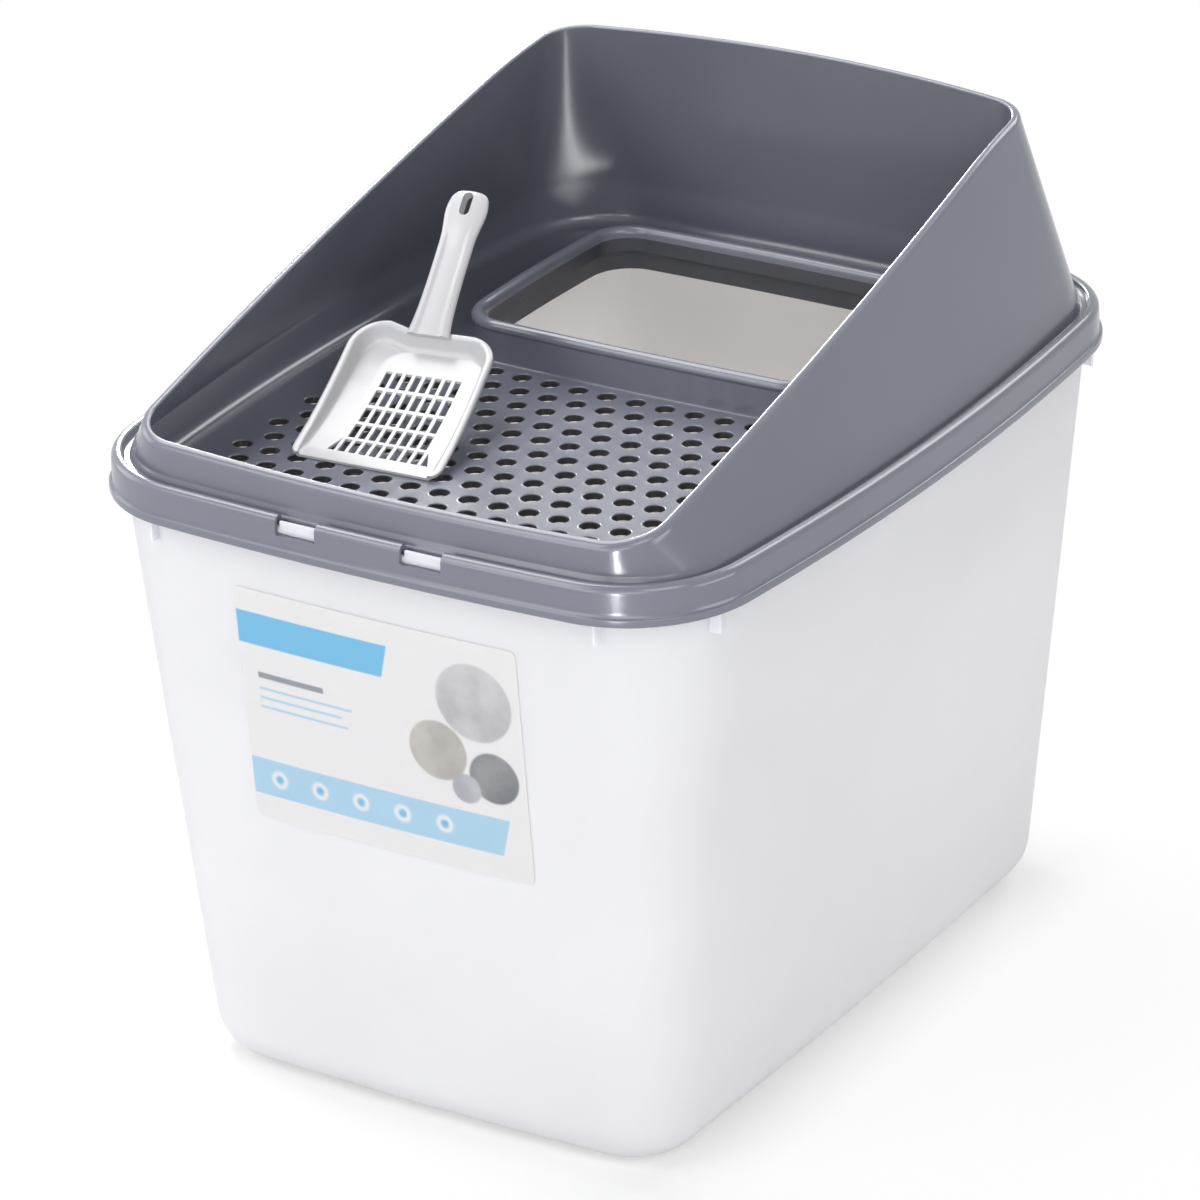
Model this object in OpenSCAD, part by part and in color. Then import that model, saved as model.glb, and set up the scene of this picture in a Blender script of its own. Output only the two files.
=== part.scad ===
// Top entry litter box: a tapered tub with a lift-off lid whose rim carries a sloping
// splash hood, a perforated step and a raised entry collar, plus a scoop and a front label.
// Frame: +Z up, front towards -Y, origin under the middle of the tub on the floor.

/* [Tub] */
// Height of the tub from the floor to the top of its rim
tub_height = 381.6; // [300:1:460]
// Length of the tub at the floor, front to back
base_length = 474; // [400:1:500]
// Width of the tub at the floor
base_width = 331; // [280:1:370]
// Corner radius of the tub at the floor
base_radius = 43; // [34:1:60]
// How far the walls bow out at the floor
base_bow = 3; // [0:0.5:6]
// Radius between the walls and the floor of the tub
foot_radius = 26; // [12:1:30]
// Wall thickness of the tub
tub_wall = 2.8; // [2:0.1:4]
// Thickness of the flange round the top of the tub
flange_height = 5; // [3:0.5:8]
// How far the short gusset ribs under the flange reach below the skirt of the lid
rib_drop = 10.5; // [4:0.5:30]
// Thickness of a gusset rib
rib_width = 1.8; // [1.2:0.1:4]

/* [Lid rim] */
// Length of the skirt of the lid, front to back
rim_length = 546.4; // [520:1:600]
// Width of the skirt of the lid
rim_width = 438; // [410:1:480]
// Corner radius of the skirt
rim_radius = 77; // [60:1:90]
// How far the long sides of the rim bow out
side_bow = 10; // [2:0.5:14]
// How far the front and the back of the rim bow out
end_bow = 4; // [1:0.5:8]
// Wall thickness of the lid
lid_wall = 2.6; // [2:0.1:3.2]
// How far the skirt hangs below the top of the tub
skirt_drop = 16.6; // [12:0.5:24]
// Height of the bead along the bottom of the skirt
bead_height = 5.5; // [3:0.5:7]
// How far the bead stands out of the skirt
bead_out = 1.8; // [0.5:0.1:3]
// Radius of the shoulder on top of the skirt
shoulder_radius = 4.5; // [3.5:0.1:5]
// Depth of the channel between the shoulder and the hood
channel_depth = 4; // [2:0.1:5]

/* [Hood] */
// Distance from the face of the skirt to the foot of the hood
hood_inset = 13; // [12.6:0.1:16]
// Height of the front of the hood above the shoulder
hood_front = 17; // [12:0.5:40]
// Height of the back of the hood above the shoulder
hood_back = 125.5; // [80:0.5:180]
// Wall thickness of the hood at its foot
hood_wall = 3.4; // [2.6:0.1:4]
// Wall thickness of the hood along its rounded top edge
edge_width = 5.8; // [5.2:0.1:7]
// Corner radius of the hood along its top edge
hood_radius = 34; // [24:1:45]
// How far the sides lean in at the front of the hood
lean_side_front = 20; // [8:0.5:26]
// How far the sides lean in at the back of the hood
lean_side_back = 28; // [18:0.5:40]
// How far the front of the hood leans back
lean_front = 2.5; // [0:0.5:8]
// How far the back of the hood leans forward
lean_back = 42; // [20:0.5:50]
// How far the back of the hood bows out along its top edge
hood_back_bow = 14; // [2:0.5:18]
// Where the sloping edge reaches the level back edge, ahead of the foot of the back wall
slope_stop = 71; // [60:1:140]

/* [Platform] */
// How far the platform lies below the top of the tub
platform_depth = 14.6; // [8:0.1:16]
// Thickness of the platform
platform_thickness = 2.6; // [2:0.1:3.2]
// Radius between the hood and the platform
cove_radius = 7.6; // [3:0.1:10]
// Diameter of a hole in the platform
hole_d = 11.5; // [6:0.5:13]
// Spacing of the holes along a row
hole_pitch = 20.1; // [16:0.1:26]
// Spacing of the rows
row_pitch = 18.3; // [15:0.1:24]
// How far the rows bow towards the front
row_bow = 7; // [0:0.5:8]
// Width across the middles of the outermost holes
hole_field = 324; // [200:1:350]
// Clear strip between the holes and the edge of the platform
hole_margin = 12; // [4:0.5:20]
// Distance from the wall of the collar to the middles of the nearest holes
collar_margin = 13.5; // [10:0.5:40]

/* [Entry collar] */
// Width of the entry opening
entry_width = 236; // [180:1:250]
// Length of the entry opening, front to back
entry_length = 164; // [130:1:175]
// Distance from the middle of the tub to the front of the entry opening
entry_front = 26; // [15:1:30]
// Corner radius of the entry opening
entry_radius = 22; // [12:1:40]
// Height of the collar above the platform
collar_height = 26; // [16:0.5:36]
// Width of the rounded bead on top of the collar
bead_width = 8.8; // [7:0.2:12]
// How far the inner lip of the collar hangs down
lip_drop = 15; // [8:0.5:18]

/* [Catches] */
// Distance between the two windows in the front of the skirt
window_spacing = 84; // [60:1:120]
// Width of a window
window_width = 27; // [18:0.5:36]
// Height of a window from its sill to the top of the shoulder
window_height = 11; // [9:0.1:12]

/* [Label] */
// Width of the front label
label_width = 190; // [100:1:210]
// Height of the front label
label_height = 150; // [80:1:180]
// Height of the bottom of the label above the floor
label_z = 184; // [120:1:190]
// Thickness of the label
label_thickness = 0.3; // [0.1:0.1:0.6]

/* [Scoop] */
// Width of the front lip of the scoop
scoop_width = 97; // [80:1:120]
// Width of the floor of the scoop at its back
scoop_back_width = 76; // [60:1:80]
// Length of the floor of the scoop
scoop_length = 96; // [84:1:110]
// Corner radius of the floor of the scoop at its back
scoop_corner = 12.5; // [8:0.5:16]
// How far the floor of the scoop rises towards its back
scoop_rise = 31; // [20:0.5:34]
// Height of the back wall of the scoop
scoop_back_height = 13; // [10:0.5:24]
// Wall thickness of the scoop
scoop_wall = 1.6; // [1.2:0.1:3]
// Length of the handle
handle_length = 96; // [80:1:140]
// Width of the handle at its narrowest
handle_width = 22; // [16:0.5:26]
// Thickness of the handle
handle_thickness = 8; // [6:0.5:12]
// Upward angle of the handle
handle_angle = 42; // [30:1:50]
// Distance of the scoop to the left of the middle
scoop_x = 78; // [70:1:95]
// Distance of the front lip of the scoop ahead of the middle
scoop_y = 152; // [130:1:165]
// Turn of the scoop on the platform
scoop_turn = 9.5; // [0:0.1:12]

/* [Clearances] */
// Gap between the flange of the tub and the skirt
skirt_gap = 0.4; // [0.3:0.1:0.8]
// Gap between the top of the tub and the lid that rests on it
seat_gap = 0.3; // [0.1:0.1:0.6]
// Gap under the scoop and behind the label
rest_gap = 0.3; // [0.1:0.1:0.6]

/* [Hidden] */

white = "#ebebf0";
grey = "#6c6f78";
scoop_white = "#f2f2f4";
label_paper = "#ecebea";

// Steps along a side, along an end and round a corner of the bowed outlines
side_steps = 12;
end_steps = 8;
corner_steps = 8;

// Heights of the lid, stacked up from the top of the tub
seat_z = tub_height + seat_gap;
channel_z = seat_z + lid_wall;
shoulder_z = channel_z + channel_depth;
skirt_z = tub_height - skirt_drop;
platform_z = tub_height - platform_depth;
platform_bottom = platform_z - platform_thickness;

// Plan sizes of the rim at its corners, before the bows
rim_x = rim_width / 2 - side_bow;
rim_y = rim_length / 2 - end_bow;

// Insets from the face of the skirt
flange_inset = lid_wall + skirt_gap;
flange_out = 4;
tub_inset = flange_inset + flange_out;
channel_outer = 7.5;
channel_inner = hood_inset - 1;
tray_inset = hood_inset + hood_wall - 3;
hood_inner = hood_inset + hood_wall;
platform_inset = hood_inner + cove_radius;

// ---- Outlines ---------------------------------------------------------------

function mix(a, b, t) = a + (b - a) * t;
function unit(v) = v / norm(v);
function right_of(v) = [v[1], -v[0]];
function angle_of(v) = atan2(v[1], v[0]);

// Point and outward normal at u, from -1 to 1, along a side that bows out
function side_point(a, b, bow, u) =
    let (half = (b - a) / 2, out = unit(right_of(half)))
    let (p = (a + b) / 2 + half * u + out * bow * (1 - u * u))
    [p, unit(right_of(half - out * bow * 2 * u))];

function side_points(a, b, bow, r, steps) =
    [for (i = [0:steps]) let (s = side_point(a, b, bow, 2 * i / steps - 1)) s[0] + s[1] * r];

// Points between the ends of two sides that meet at the corner centre c
function corner_points(c, n0, n1, r, steps) =
    let (a0 = angle_of(n0), turn = (angle_of(n1) - a0 + 360) % 360)
    [for (i = [1:steps - 1]) let (a = a0 + turn * i / steps) c + r * [cos(a), sin(a)]];

// Rounded rectangle with bowed sides, anticlockwise from its front right corner.
// xf, xb: half widths at the front and the back; yf, yb: front and back; bows: side, front, back
function bowed_loop(xf, xb, yf, yb, r, bows, ns = side_steps, ne = end_steps, nc = corner_steps) =
    let (c = [[xf - r, yf + r], [xb - r, yb - r], [r - xb, yb - r], [r - xf, yf + r]])
    let (b = [bows[0], bows[2], bows[0], bows[1]], steps = [ns, ne, ns, ne])
    [for (k = [0:3])
        let (p = c[k], q = c[(k + 1) % 4], w = c[(k + 2) % 4])
        let (n0 = side_point(p, q, b[k], 1)[1], n1 = side_point(q, w, b[(k + 1) % 4], -1)[1])
        each concat(side_points(p, q, b[k], r, steps[k]), corner_points(q, n0, n1, r, nc))];

function at_height(points, z) = [for (p = points) [p[0], p[1], z]];

// The rim outline, drawn in by an inset
function rim_loop(inset) =
    bowed_loop(rim_x - inset, rim_x - inset, inset - rim_y, rim_y - inset, rim_radius - inset,
        [side_bow, end_bow, end_bow]);

function rim_ring(inset, z) = at_height(rim_loop(inset), z);

// The tub outline at a height, drawn in by an inset
function tub_loop(z, inset) =
    let (t = z / tub_height)
    let (x = mix(base_width / 2 - base_bow, rim_x - tub_inset, t) - inset)
    let (y = mix(base_length / 2 - base_bow, rim_y - tub_inset, t) - inset)
    let (r = mix(base_radius, rim_radius - tub_inset, t) - inset)
    let (side = mix(base_bow, side_bow, t), end = mix(base_bow, end_bow, t))
    bowed_loop(x, x, -y, y, r, [side, end, end]);

function tub_ring(z, inset) = at_height(tub_loop(z, inset), z);

// ---- Lofts ------------------------------------------------------------------

// Side faces between ring i and ring j, each of n points
function band(i, j, n) =
    [for (k = [0:n - 1]) let (a = i * n + k, b = i * n + (k + 1) % n, c = j * n + (k + 1) % n, d = j * n + k)
        each [[a, d, c], [a, c, b]]];

// Solid through rings that go up, closed by flat faces at both ends
module loft(rings) {
    n = len(rings[0]);
    last = len(rings) - 1;
    first_cap = [for (k = [0:n - 1]) k];
    last_cap = [for (k = [n - 1:-1:0]) last * n + k];
    sides = [for (i = [0:last - 1]) each band(i, i + 1, n)];
    polyhedron([for (r = rings) each r], concat([first_cap, last_cap], sides), convexity = 8);
}

// Solid swept by a closed profile, whose rings follow one another round the profile
module loft_loop(rings) {
    n = len(rings[0]);
    m = len(rings);
    polyhedron([for (r = rings) each r], [for (i = [0:m - 1]) each band(i, (i + 1) % m, n)], convexity = 8);
}

// ---- Tub --------------------------------------------------------------------

floor_thickness = tub_wall;
foot_steps = 5;
rib_length = skirt_drop + rib_drop;
rib_gap = 0.4;
rib_seat = 2.4;
rib_side_angle = 19;
rib_end_angle = 77;

function foot_ring(z0, r, inset, a) = tub_ring(z0 + r * (1 - cos(a)), inset + r * (1 - sin(a)));

module tub_shell() {
    top = tub_height;
    outer_foot = [for (i = [0:foot_steps]) foot_ring(0, foot_radius, 0, 90 * i / foot_steps)];
    flange = [
        tub_ring(top - flange_height, 0),
        tub_ring(top - flange_height + 0.4, 1 - flange_out),
        tub_ring(top - flange_height + 1.4, -flange_out),
        tub_ring(top - 1.2, -flange_out),
        tub_ring(top, 1.2 - flange_out),
        tub_ring(top, tub_wall - 0.8),
        tub_ring(top - 0.8, tub_wall)
    ];
    inner_radius = foot_radius - tub_wall;
    inner_foot = [for (i = [foot_steps:-1:0])
        foot_ring(floor_thickness, inner_radius, tub_wall, 90 * i / foot_steps)];
    loft(concat(outer_foot, flange, inner_foot));
}

// Thin gusset under the flange. Its outer edge is upright and its inner edge leans with the wall
module gusset(edge, a) {
    top = tub_height - flange_height + 1;
    depth = flange_out - rib_gap + rib_seat;
    lean = rib_length * (rim_y - tub_inset - base_length / 2 + base_bow) / tub_height;
    translate([edge[0], edge[1], top])
        rotate([90, 0, a])
            linear_extrude(rib_width, center = true)
                polygon([[0, 0], [0, -rib_length], [-depth - lean, -rib_length], [-depth, 0]]);
}

// Two gussets at every corner: one looks along X and one along Y
module gussets() {
    corner = [rim_x - rim_radius, rim_y - rim_radius];
    r = rim_radius - flange_inset - rib_gap;
    for (sx = [-1, 1], sy = [-1, 1]) {
        side_edge = corner + r * [cos(rib_side_angle), sin(rib_side_angle)];
        end_edge = corner + r * [cos(rib_end_angle), sin(rib_end_angle)];
        gusset([sx * side_edge[0], sy * side_edge[1]], sx > 0 ? 0 : 180);
        gusset([sx * end_edge[0], sy * end_edge[1]], sy * 90);
    }
}

// Upright lug on the flange that shows in a window of the skirt
lug_thickness = 1.9;
lug_margin = 1;
lug_height = 4.8;
module lug(x) {
    w = window_width - 2 * lug_margin;
    z0 = tub_height - 2;
    y = rim_y + end_bow * (1 - pow(x / (rim_x - rim_radius), 2)) - flange_inset - 0.4;
    translate([x - w / 2, -y, z0])
        cube([w, lug_thickness, lug_height + 2]);
}

module tub() {
    color(white) union() {
        tub_shell();
        gussets();
        for (s = [-1, 1]) lug(s * window_spacing / 2);
    }
}

// ---- Lid rim and hood -------------------------------------------------------

top_x_front = rim_x - hood_inset - lean_side_front;
top_x_back = rim_x - hood_inset - lean_side_back;
top_y_front = hood_inset + lean_front - rim_y;
top_y_back = rim_y - hood_inset - lean_back;
top_bow_side = side_bow / 2;
top_bow_front = end_bow + 1;
front_top_z = shoulder_z + hood_front;
back_top_z = shoulder_z + hood_back;
slope_end_y = rim_y - hood_inset - slope_stop;
edge_blend = 14;

function hood_top_loop(inset) =
    bowed_loop(top_x_front - inset, top_x_back - inset, top_y_front + inset, top_y_back - inset,
        hood_radius - inset, [top_bow_side, top_bow_front, hood_back_bow]);

function smooth_min(a, b, k) = min(a, b) - pow(max(k - abs(a - b), 0), 2) / (4 * k);

// Height of the top edge of the hood at a distance y from the middle
function edge_z(y) =
    let (y0 = top_y_front - top_bow_front)
    smooth_min(mix(front_top_z, back_top_z, (y - y0) / (slope_end_y - y0)), back_top_z, edge_blend);

// Ring at a share t of the way up the hood, on a face drawn in at its foot and at its top
function hood_ring(foot_inset, top_inset, t, drop) =
    let (foot = rim_loop(foot_inset), top = hood_top_loop(top_inset))
    [for (i = [0:len(foot) - 1])
        let (p = mix(foot[i], top[i], t), z1 = edge_z(top[i][1]) - drop)
        [p[0], p[1], mix(shoulder_z, z1, t)]];

edge_outer = 3.8;
edge_inner = 1.2;
wall_steps = [0.25, 0.5, 0.75];

module rim_and_hood_shell() {
    outer_skin = [
        rim_ring(lid_wall, skirt_z),
        rim_ring(0.8 - bead_out, skirt_z),
        rim_ring(-bead_out, skirt_z + 1.2),
        rim_ring(-bead_out, skirt_z + bead_height - 1.3),
        rim_ring(0.6 - bead_out, skirt_z + bead_height - 0.5),
        rim_ring(0, skirt_z + bead_height)
    ];
    shoulder = [for (a = [0:30:90])
        rim_ring(0.3 + shoulder_radius * (1 - cos(a)), shoulder_z - shoulder_radius * (1 - sin(a)))];
    channel = [
        rim_ring(channel_outer - 0.9, shoulder_z - 0.4),
        rim_ring(channel_outer, channel_z + 0.5),
        rim_ring(channel_outer + 0.6, channel_z),
        rim_ring(channel_inner - 1.2, channel_z),
        rim_ring(channel_inner - 0.5, channel_z + 0.6),
        rim_ring(channel_inner - 0.1, shoulder_z - 1.2)
    ];
    hood_outer = concat(
        [hood_ring(hood_inset, 0, 0, 0)],
        [for (t = wall_steps) hood_ring(hood_inset, 0, t, edge_outer)],
        [for (a = [0:30:90])
            hood_ring(hood_inset, edge_outer * (1 - cos(a)), 1, edge_outer * (1 - sin(a)))]);
    hood_inner_skin = concat(
        [for (a = [90:-30:0])
            hood_ring(hood_inner, edge_width - edge_inner * (1 - cos(a)), 1, edge_inner * (1 - sin(a)))],
        [for (i = [2:-1:0]) hood_ring(hood_inner, edge_width, wall_steps[i], edge_inner)],
        [hood_ring(hood_inner, edge_width, 0, edge_inner)]);
    cove = [for (a = [0:30:90])
        rim_ring(platform_inset - cove_radius * cos(a), platform_z + cove_radius * (1 - sin(a)))];
    under_skin = [
        rim_ring(platform_inset, platform_bottom),
        rim_ring(tray_inset + 2, platform_bottom),
        rim_ring(tray_inset, platform_bottom + 2),
        rim_ring(tray_inset, seat_z),
        rim_ring(channel_outer - lid_wall + 0.3, seat_z),
        rim_ring(channel_outer - lid_wall + 0.3, shoulder_z - lid_wall),
        rim_ring(lid_wall + 0.6, shoulder_z - lid_wall),
        rim_ring(lid_wall, shoulder_z - lid_wall - 0.8)
    ];
    loft_loop(concat(outer_skin, shoulder, channel, hood_outer, hood_inner_skin, cove, under_skin));
}

module window(x) {
    depth = channel_outer - lid_wall + 6;
    y = rim_y + end_bow + bead_out + 2;
    translate([x - window_width / 2, -y, shoulder_z - window_height])
        cube([window_width, depth + 2.5, window_height + 3]);
}

module lid_rim_hood() {
    color(grey) difference() {
        rim_and_hood_shell();
        for (s = [-1, 1]) window(s * window_spacing / 2);
    }
}

// ---- Entry collar -----------------------------------------------------------

entry_back = entry_front + entry_length;
collar_z = platform_z + collar_height;
riser_face = bead_width - 1.6;
riser_foot = riser_face + 2.2;

function entry_loop(out) =
    bowed_loop(entry_width / 2 + out, entry_width / 2 + out, entry_front - out, entry_back + out,
        entry_radius + out, [1.5, 1.5, 1.5], 6, 6, 6);

function entry_ring(out, z) = at_height(entry_loop(out), z);

module lid_entry_collar() {
    w = bead_width;
    bead_z = collar_z - w / 2;
    bead = [for (a = [0:30:180]) entry_ring(w / 2 + w / 2 * cos(a), bead_z + w / 2 * sin(a))];
    under = w / 2 - 2.2;
    bead_under = [for (a = [180:-45:0]) entry_ring(w / 2 + under * cos(a), bead_z + under * sin(a))];
    color(grey) loft_loop(concat(
        [entry_ring(riser_foot, platform_bottom)],
        [entry_ring(riser_foot, platform_z)],
        [entry_ring(riser_face + 0.7, platform_z + 0.6)],
        [entry_ring(riser_face, platform_z + 2.2)],
        [entry_ring(riser_face, bead_z - w / 4)],
        bead,
        [entry_ring(-1, collar_z - lip_drop)],
        [entry_ring(1.2, collar_z - lip_drop)],
        bead_under,
        [entry_ring(riser_face - lid_wall, bead_z - w / 4)],
        [entry_ring(riser_face - lid_wall, platform_bottom)]));
}

// ---- Platform ---------------------------------------------------------------

first_row_y = entry_front - riser_face - collar_margin;
row_count = ceil((first_row_y + rim_y - platform_inset) / row_pitch);
column_count = ceil(hole_field / 2 / hole_pitch);

// True where a whole hole fits inside the platform
function hole_fits(p) =
    let (r = rim_radius - platform_inset, m = hole_margin + hole_d / 2)
    let (cx = rim_x - rim_radius, cy = rim_y - rim_radius)
    let (over_x = max(abs(p[0]) - cx, 0), over_y = max(abs(p[1]) - cy, 0))
    abs(p[0]) < hole_field / 2 + 0.5 && norm([over_x, over_y]) < r - m;

hole_places = [for (row = [0:row_count], col = [-column_count:column_count])
    let (x = hole_pitch * (col + (row % 2 == 0 ? 0.5 : 0)))
    let (y = first_row_y - row * row_pitch + row_bow * pow(x / (rim_x - platform_inset), 2))
    if (hole_fits([x, y])) [x, y]];

module lid_platform() {
    color(grey)
        translate([0, 0, platform_bottom])
            linear_extrude(platform_thickness)
                difference() {
                    polygon(rim_loop(platform_inset));
                    polygon(entry_loop(riser_foot));
                    for (p = hole_places) translate(p) circle(d = hole_d, $fn = 32);
                }
}

// ---- Label ------------------------------------------------------------------

label_steps = 16;

// Distance of the front wall of the tub from the middle, at x and z
function front_y(x, z) =
    let (t = z / tub_height)
    let (cx = mix(base_width / 2 - base_bow - base_radius, rim_x - rim_radius, t))
    let (y = mix(base_length / 2 - base_bow, rim_y - tub_inset, t))
    y + mix(base_bow, end_bow, t) * (1 - pow(x / cx, 2));

function label_ring(out, z) =
    [for (i = [0:label_steps])
        let (x = label_width * (i / label_steps - 0.5))
        [x, -front_y(x, z) - out, z]];

module front_label() {
    near = rest_gap;
    far = rest_gap + label_thickness;
    z1 = label_z + label_height;
    n = 2 * (label_steps + 1);
    function section(z) = concat(label_ring(far, z), [for (i = [label_steps:-1:0]) label_ring(near, z)[i]]);
    color(label_paper) loft([section(label_z), section(z1)]);
}

// ---- Scoop ------------------------------------------------------------------

slot_rows = 5;
slots_across = 10;
corner_rows = 4;
last_slot_row = 2 * slot_rows + 1;
last_slot_column = 2 * slots_across + 1;
floor_rows = last_slot_row + corner_rows;
floor_columns = last_slot_column + 1;
front_border = 11.5;
left_border = 12;
right_border = 1.5;
slot_bar = 2.4;
lip_slant = 0.1;
wall_levels = [[0, 0], [1.2, 0.08], [2.2, 0.35], [3, 1], [7, 1], [7.6, 0.93]];
lip_corner = 0.4;
lip_height = 1.6;

function corner_angle(i) = 90 * max(0, i - last_slot_row) / corner_rows;

function floor_y(i) =
    let (slots = scoop_length - front_border - scoop_corner, step = slots / slot_rows)
    let (k = floor((i - 1) / 2), odd = (i - 1) % 2)
    i == 0 ? 0 :
    i <= last_slot_row ? front_border + k * step + odd * (step - slot_bar) :
    scoop_length - scoop_corner * (1 - sin(corner_angle(i)));

function floor_half(i) =
    mix(scoop_width / 2 - wall_levels[4][0], scoop_back_width / 2, floor_y(i) / scoop_length)
    - scoop_corner * (1 - cos(corner_angle(i)));

function floor_x(i, j) =
    let (half = floor_half(i), step = (2 * half - left_border - right_border) / slots_across)
    let (k = floor((j - 1) / 2), odd = (j - 1) % 2)
    j == 0 ? -half :
    j == floor_columns ? half :
    -half + left_border + k * step + odd * (step - slot_bar);

function floor_z(y) = scoop_rise * pow(y / scoop_length, 1.5);
function floor_point(i, j) =
    let (x = floor_x(i, j), y = floor_y(i))
    [x, y - lip_slant * x * (1 - y / scoop_length), floor_z(y)];

// The front row has a half slot, cut along its diagonal, at each end; the other rows stop short
function is_slot(i, j) =
    i < last_slot_row && i % 2 == 1 && j % 2 == 1 && (i == 1 ? j < last_slot_column :
        j > 1 && j < last_slot_column - 2);
function is_left_half(i, j) = i == 1 && j == 1;
function is_right_half(i, j) = i == 1 && j == last_slot_column - 2;

// Edge of the floor with its outward directions: left side, back and right side
function edge_stations() = concat(
    [for (i = [0:floor_rows]) [i, 0, 180 - corner_angle(i)]],
    [for (j = [1:floor_columns - 1]) [floor_rows, j, 90]],
    [for (i = [floor_rows:-1:0]) [i, floor_columns, corner_angle(i)]]);

function wall_point(s, level) =
    let (p = floor_point(s[0], s[1]), w = wall_levels[level])
    let (h = mix(lip_height, scoop_back_height, pow(floor_y(s[0]) / scoop_length, 0.9)))
    let (out = w[0] * (s[0] == 0 ? lip_corner : 1))
    p + [out * cos(s[2]), out * sin(s[2]), w[1] * h];

module scoop_blade() {
    s = edge_stations();
    levels = len(wall_levels);
    cols = floor_columns + 1;
    floor_count = (floor_rows + 1) * cols;
    wall_count = len(s) * (levels - 1);
    total = floor_count + wall_count;
    floor_top = [for (i = [0:floor_rows], j = [0:floor_columns]) floor_point(i, j)];
    wall_top = [for (l = [1:levels - 1], k = [0:len(s) - 1]) wall_point(s[k], l)];
    floor_under = [for (p = floor_top) p - [0, 0, scoop_wall]];
    wall_under = [for (l = [1:levels - 1], k = [0:len(s) - 1])
        let (p = wall_point(s[k], l), side = l < 4 ? scoop_wall : 0)
        p + [side * cos(s[k][2]), side * sin(s[k][2]), -scoop_wall]];
    function fp(i, j) = i * cols + j;
    function wp(l, k) = l == 0 ? fp(s[k][0], s[k][1]) : floor_count + (l - 1) * len(s) + k;
    function quad(a, b, c, d) = [[a, b, c], [a, c, d]];
    function flip(faces, shift) = [for (f = faces) [f[2] + shift, f[1] + shift, f[0] + shift]];
    function cell_faces(i, j) =
        let (a = fp(i, j), b = fp(i + 1, j), c = fp(i + 1, j + 1), d = fp(i, j + 1))
        is_left_half(i, j) ? [[a, b, c]] :
        is_right_half(i, j) ? [[b, c, d]] :
        is_slot(i, j) ? [] : quad(a, b, c, d);
    function slot_outline(i, j) =
        let (a = fp(i, j), b = fp(i + 1, j), c = fp(i + 1, j + 1), d = fp(i, j + 1))
        is_left_half(i, j) ? [a, d, c] :
        is_right_half(i, j) ? [a, d, b] : [a, d, c, b];
    floor_faces = [for (i = [0:floor_rows - 1], j = [0:floor_columns - 1]) each cell_faces(i, j)];
    wall_faces = [for (l = [0:levels - 2], k = [0:len(s) - 2])
        each quad(wp(l, k), wp(l + 1, k), wp(l + 1, k + 1), wp(l, k + 1))];
    top_faces = concat(floor_faces, wall_faces);
    slot_faces = [for (i = [0:floor_rows - 1], j = [0:floor_columns - 1]) if (is_slot(i, j))
        let (q = slot_outline(i, j))
        for (e = [0:len(q) - 1]) let (a = q[e], b = q[(e + 1) % len(q)])
            each quad(a, b, b + total, a + total)];
    front = concat(
        [for (l = [levels - 1:-1:0]) wp(l, 0)],
        [for (j = [1:floor_columns]) fp(0, j)],
        [for (l = [1:levels - 1]) wp(l, len(s) - 1)]);
    rim = [for (k = [len(s) - 1:-1:0]) wp(levels - 1, k)];
    edge = concat(front, [for (k = [1:len(rim) - 1]) rim[k]]);
    edge_faces = [for (e = [0:len(edge) - 2]) let (a = edge[e], b = edge[e + 1])
        each quad(b, a, a + total, b + total)];
    polyhedron(concat(floor_top, wall_top, floor_under, wall_under),
        concat(top_faces, flip(top_faces, total), slot_faces, edge_faces), convexity = 10);
}

// Cross-section of the handle at a share t of its length, with a channel along its top
handle_points = 20;
function handle_half(t) =
    handle_width / 2 * (1 + 0.25 * pow(1 - t, 6) + 0.2 * exp(-pow((t - 0.86) / 0.12, 2)));
function handle_section(t, grow) =
    [for (i = [0:handle_points - 1])
        let (a = -360 * i / handle_points)
        let (x = handle_half(t) * grow * cos(a), z = handle_thickness / 2 * grow * sin(a))
        let (groove = sin(a) > 0 ? 2.6 * pow(sin(a), 4) * smooth_step((0.8 - t) / 0.3) : 0)
        [x, t * handle_length, z - groove]];
function smooth_step(t) = let (u = max(0, min(1, t))) u * u * (3 - 2 * u);

module scoop_handle() {
    ends = [[0.985, 0.78], [0.997, 0.45], [1, 0.12]];
    rings = concat(
        [for (i = [0:10]) handle_section(i / 11, 1)],
        [handle_section(0.95, 0.97)],
        [for (e = ends) handle_section(e[0], e[1])]);
    difference() {
        loft(rings);
        translate([0, handle_length * 0.9, 0]) hang_slot();
    }
}

hang_slot_width = 6.4;
hang_slot_length = 10;
module hang_slot() {
    linear_extrude(4 * handle_thickness, center = true)
        hull()
            for (s = [-1, 1])
                translate([0, s * hang_slot_length / 2]) circle(d = hang_slot_width, $fn = 24);
}

module scoop() {
    color(scoop_white)
        translate([-scoop_x, -scoop_y, platform_z + rest_gap + scoop_wall])
            rotate([0, 0, scoop_turn])
                union() {
                    scoop_blade();
                    translate([0, scoop_length + 3, scoop_rise + scoop_back_height + 1.5])
                        rotate([handle_angle, 0, 0])
                            translate([0, -3, -1])
                                scoop_handle();
                }
}

tub();
lid_rim_hood();
lid_platform();
lid_entry_collar();
scoop();
front_label();
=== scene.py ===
"""Looks of the top entry litter box, built over the frame packed from its CAD part.

Lengths in the shape code are millimetres, as in the CAD part, and become metres when a
mesh is made. +Z is up and the front of the box looks towards -Y.
"""
import math

import bmesh
import bpy
import numpy as np
from mathutils import Matrix, Vector


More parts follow.
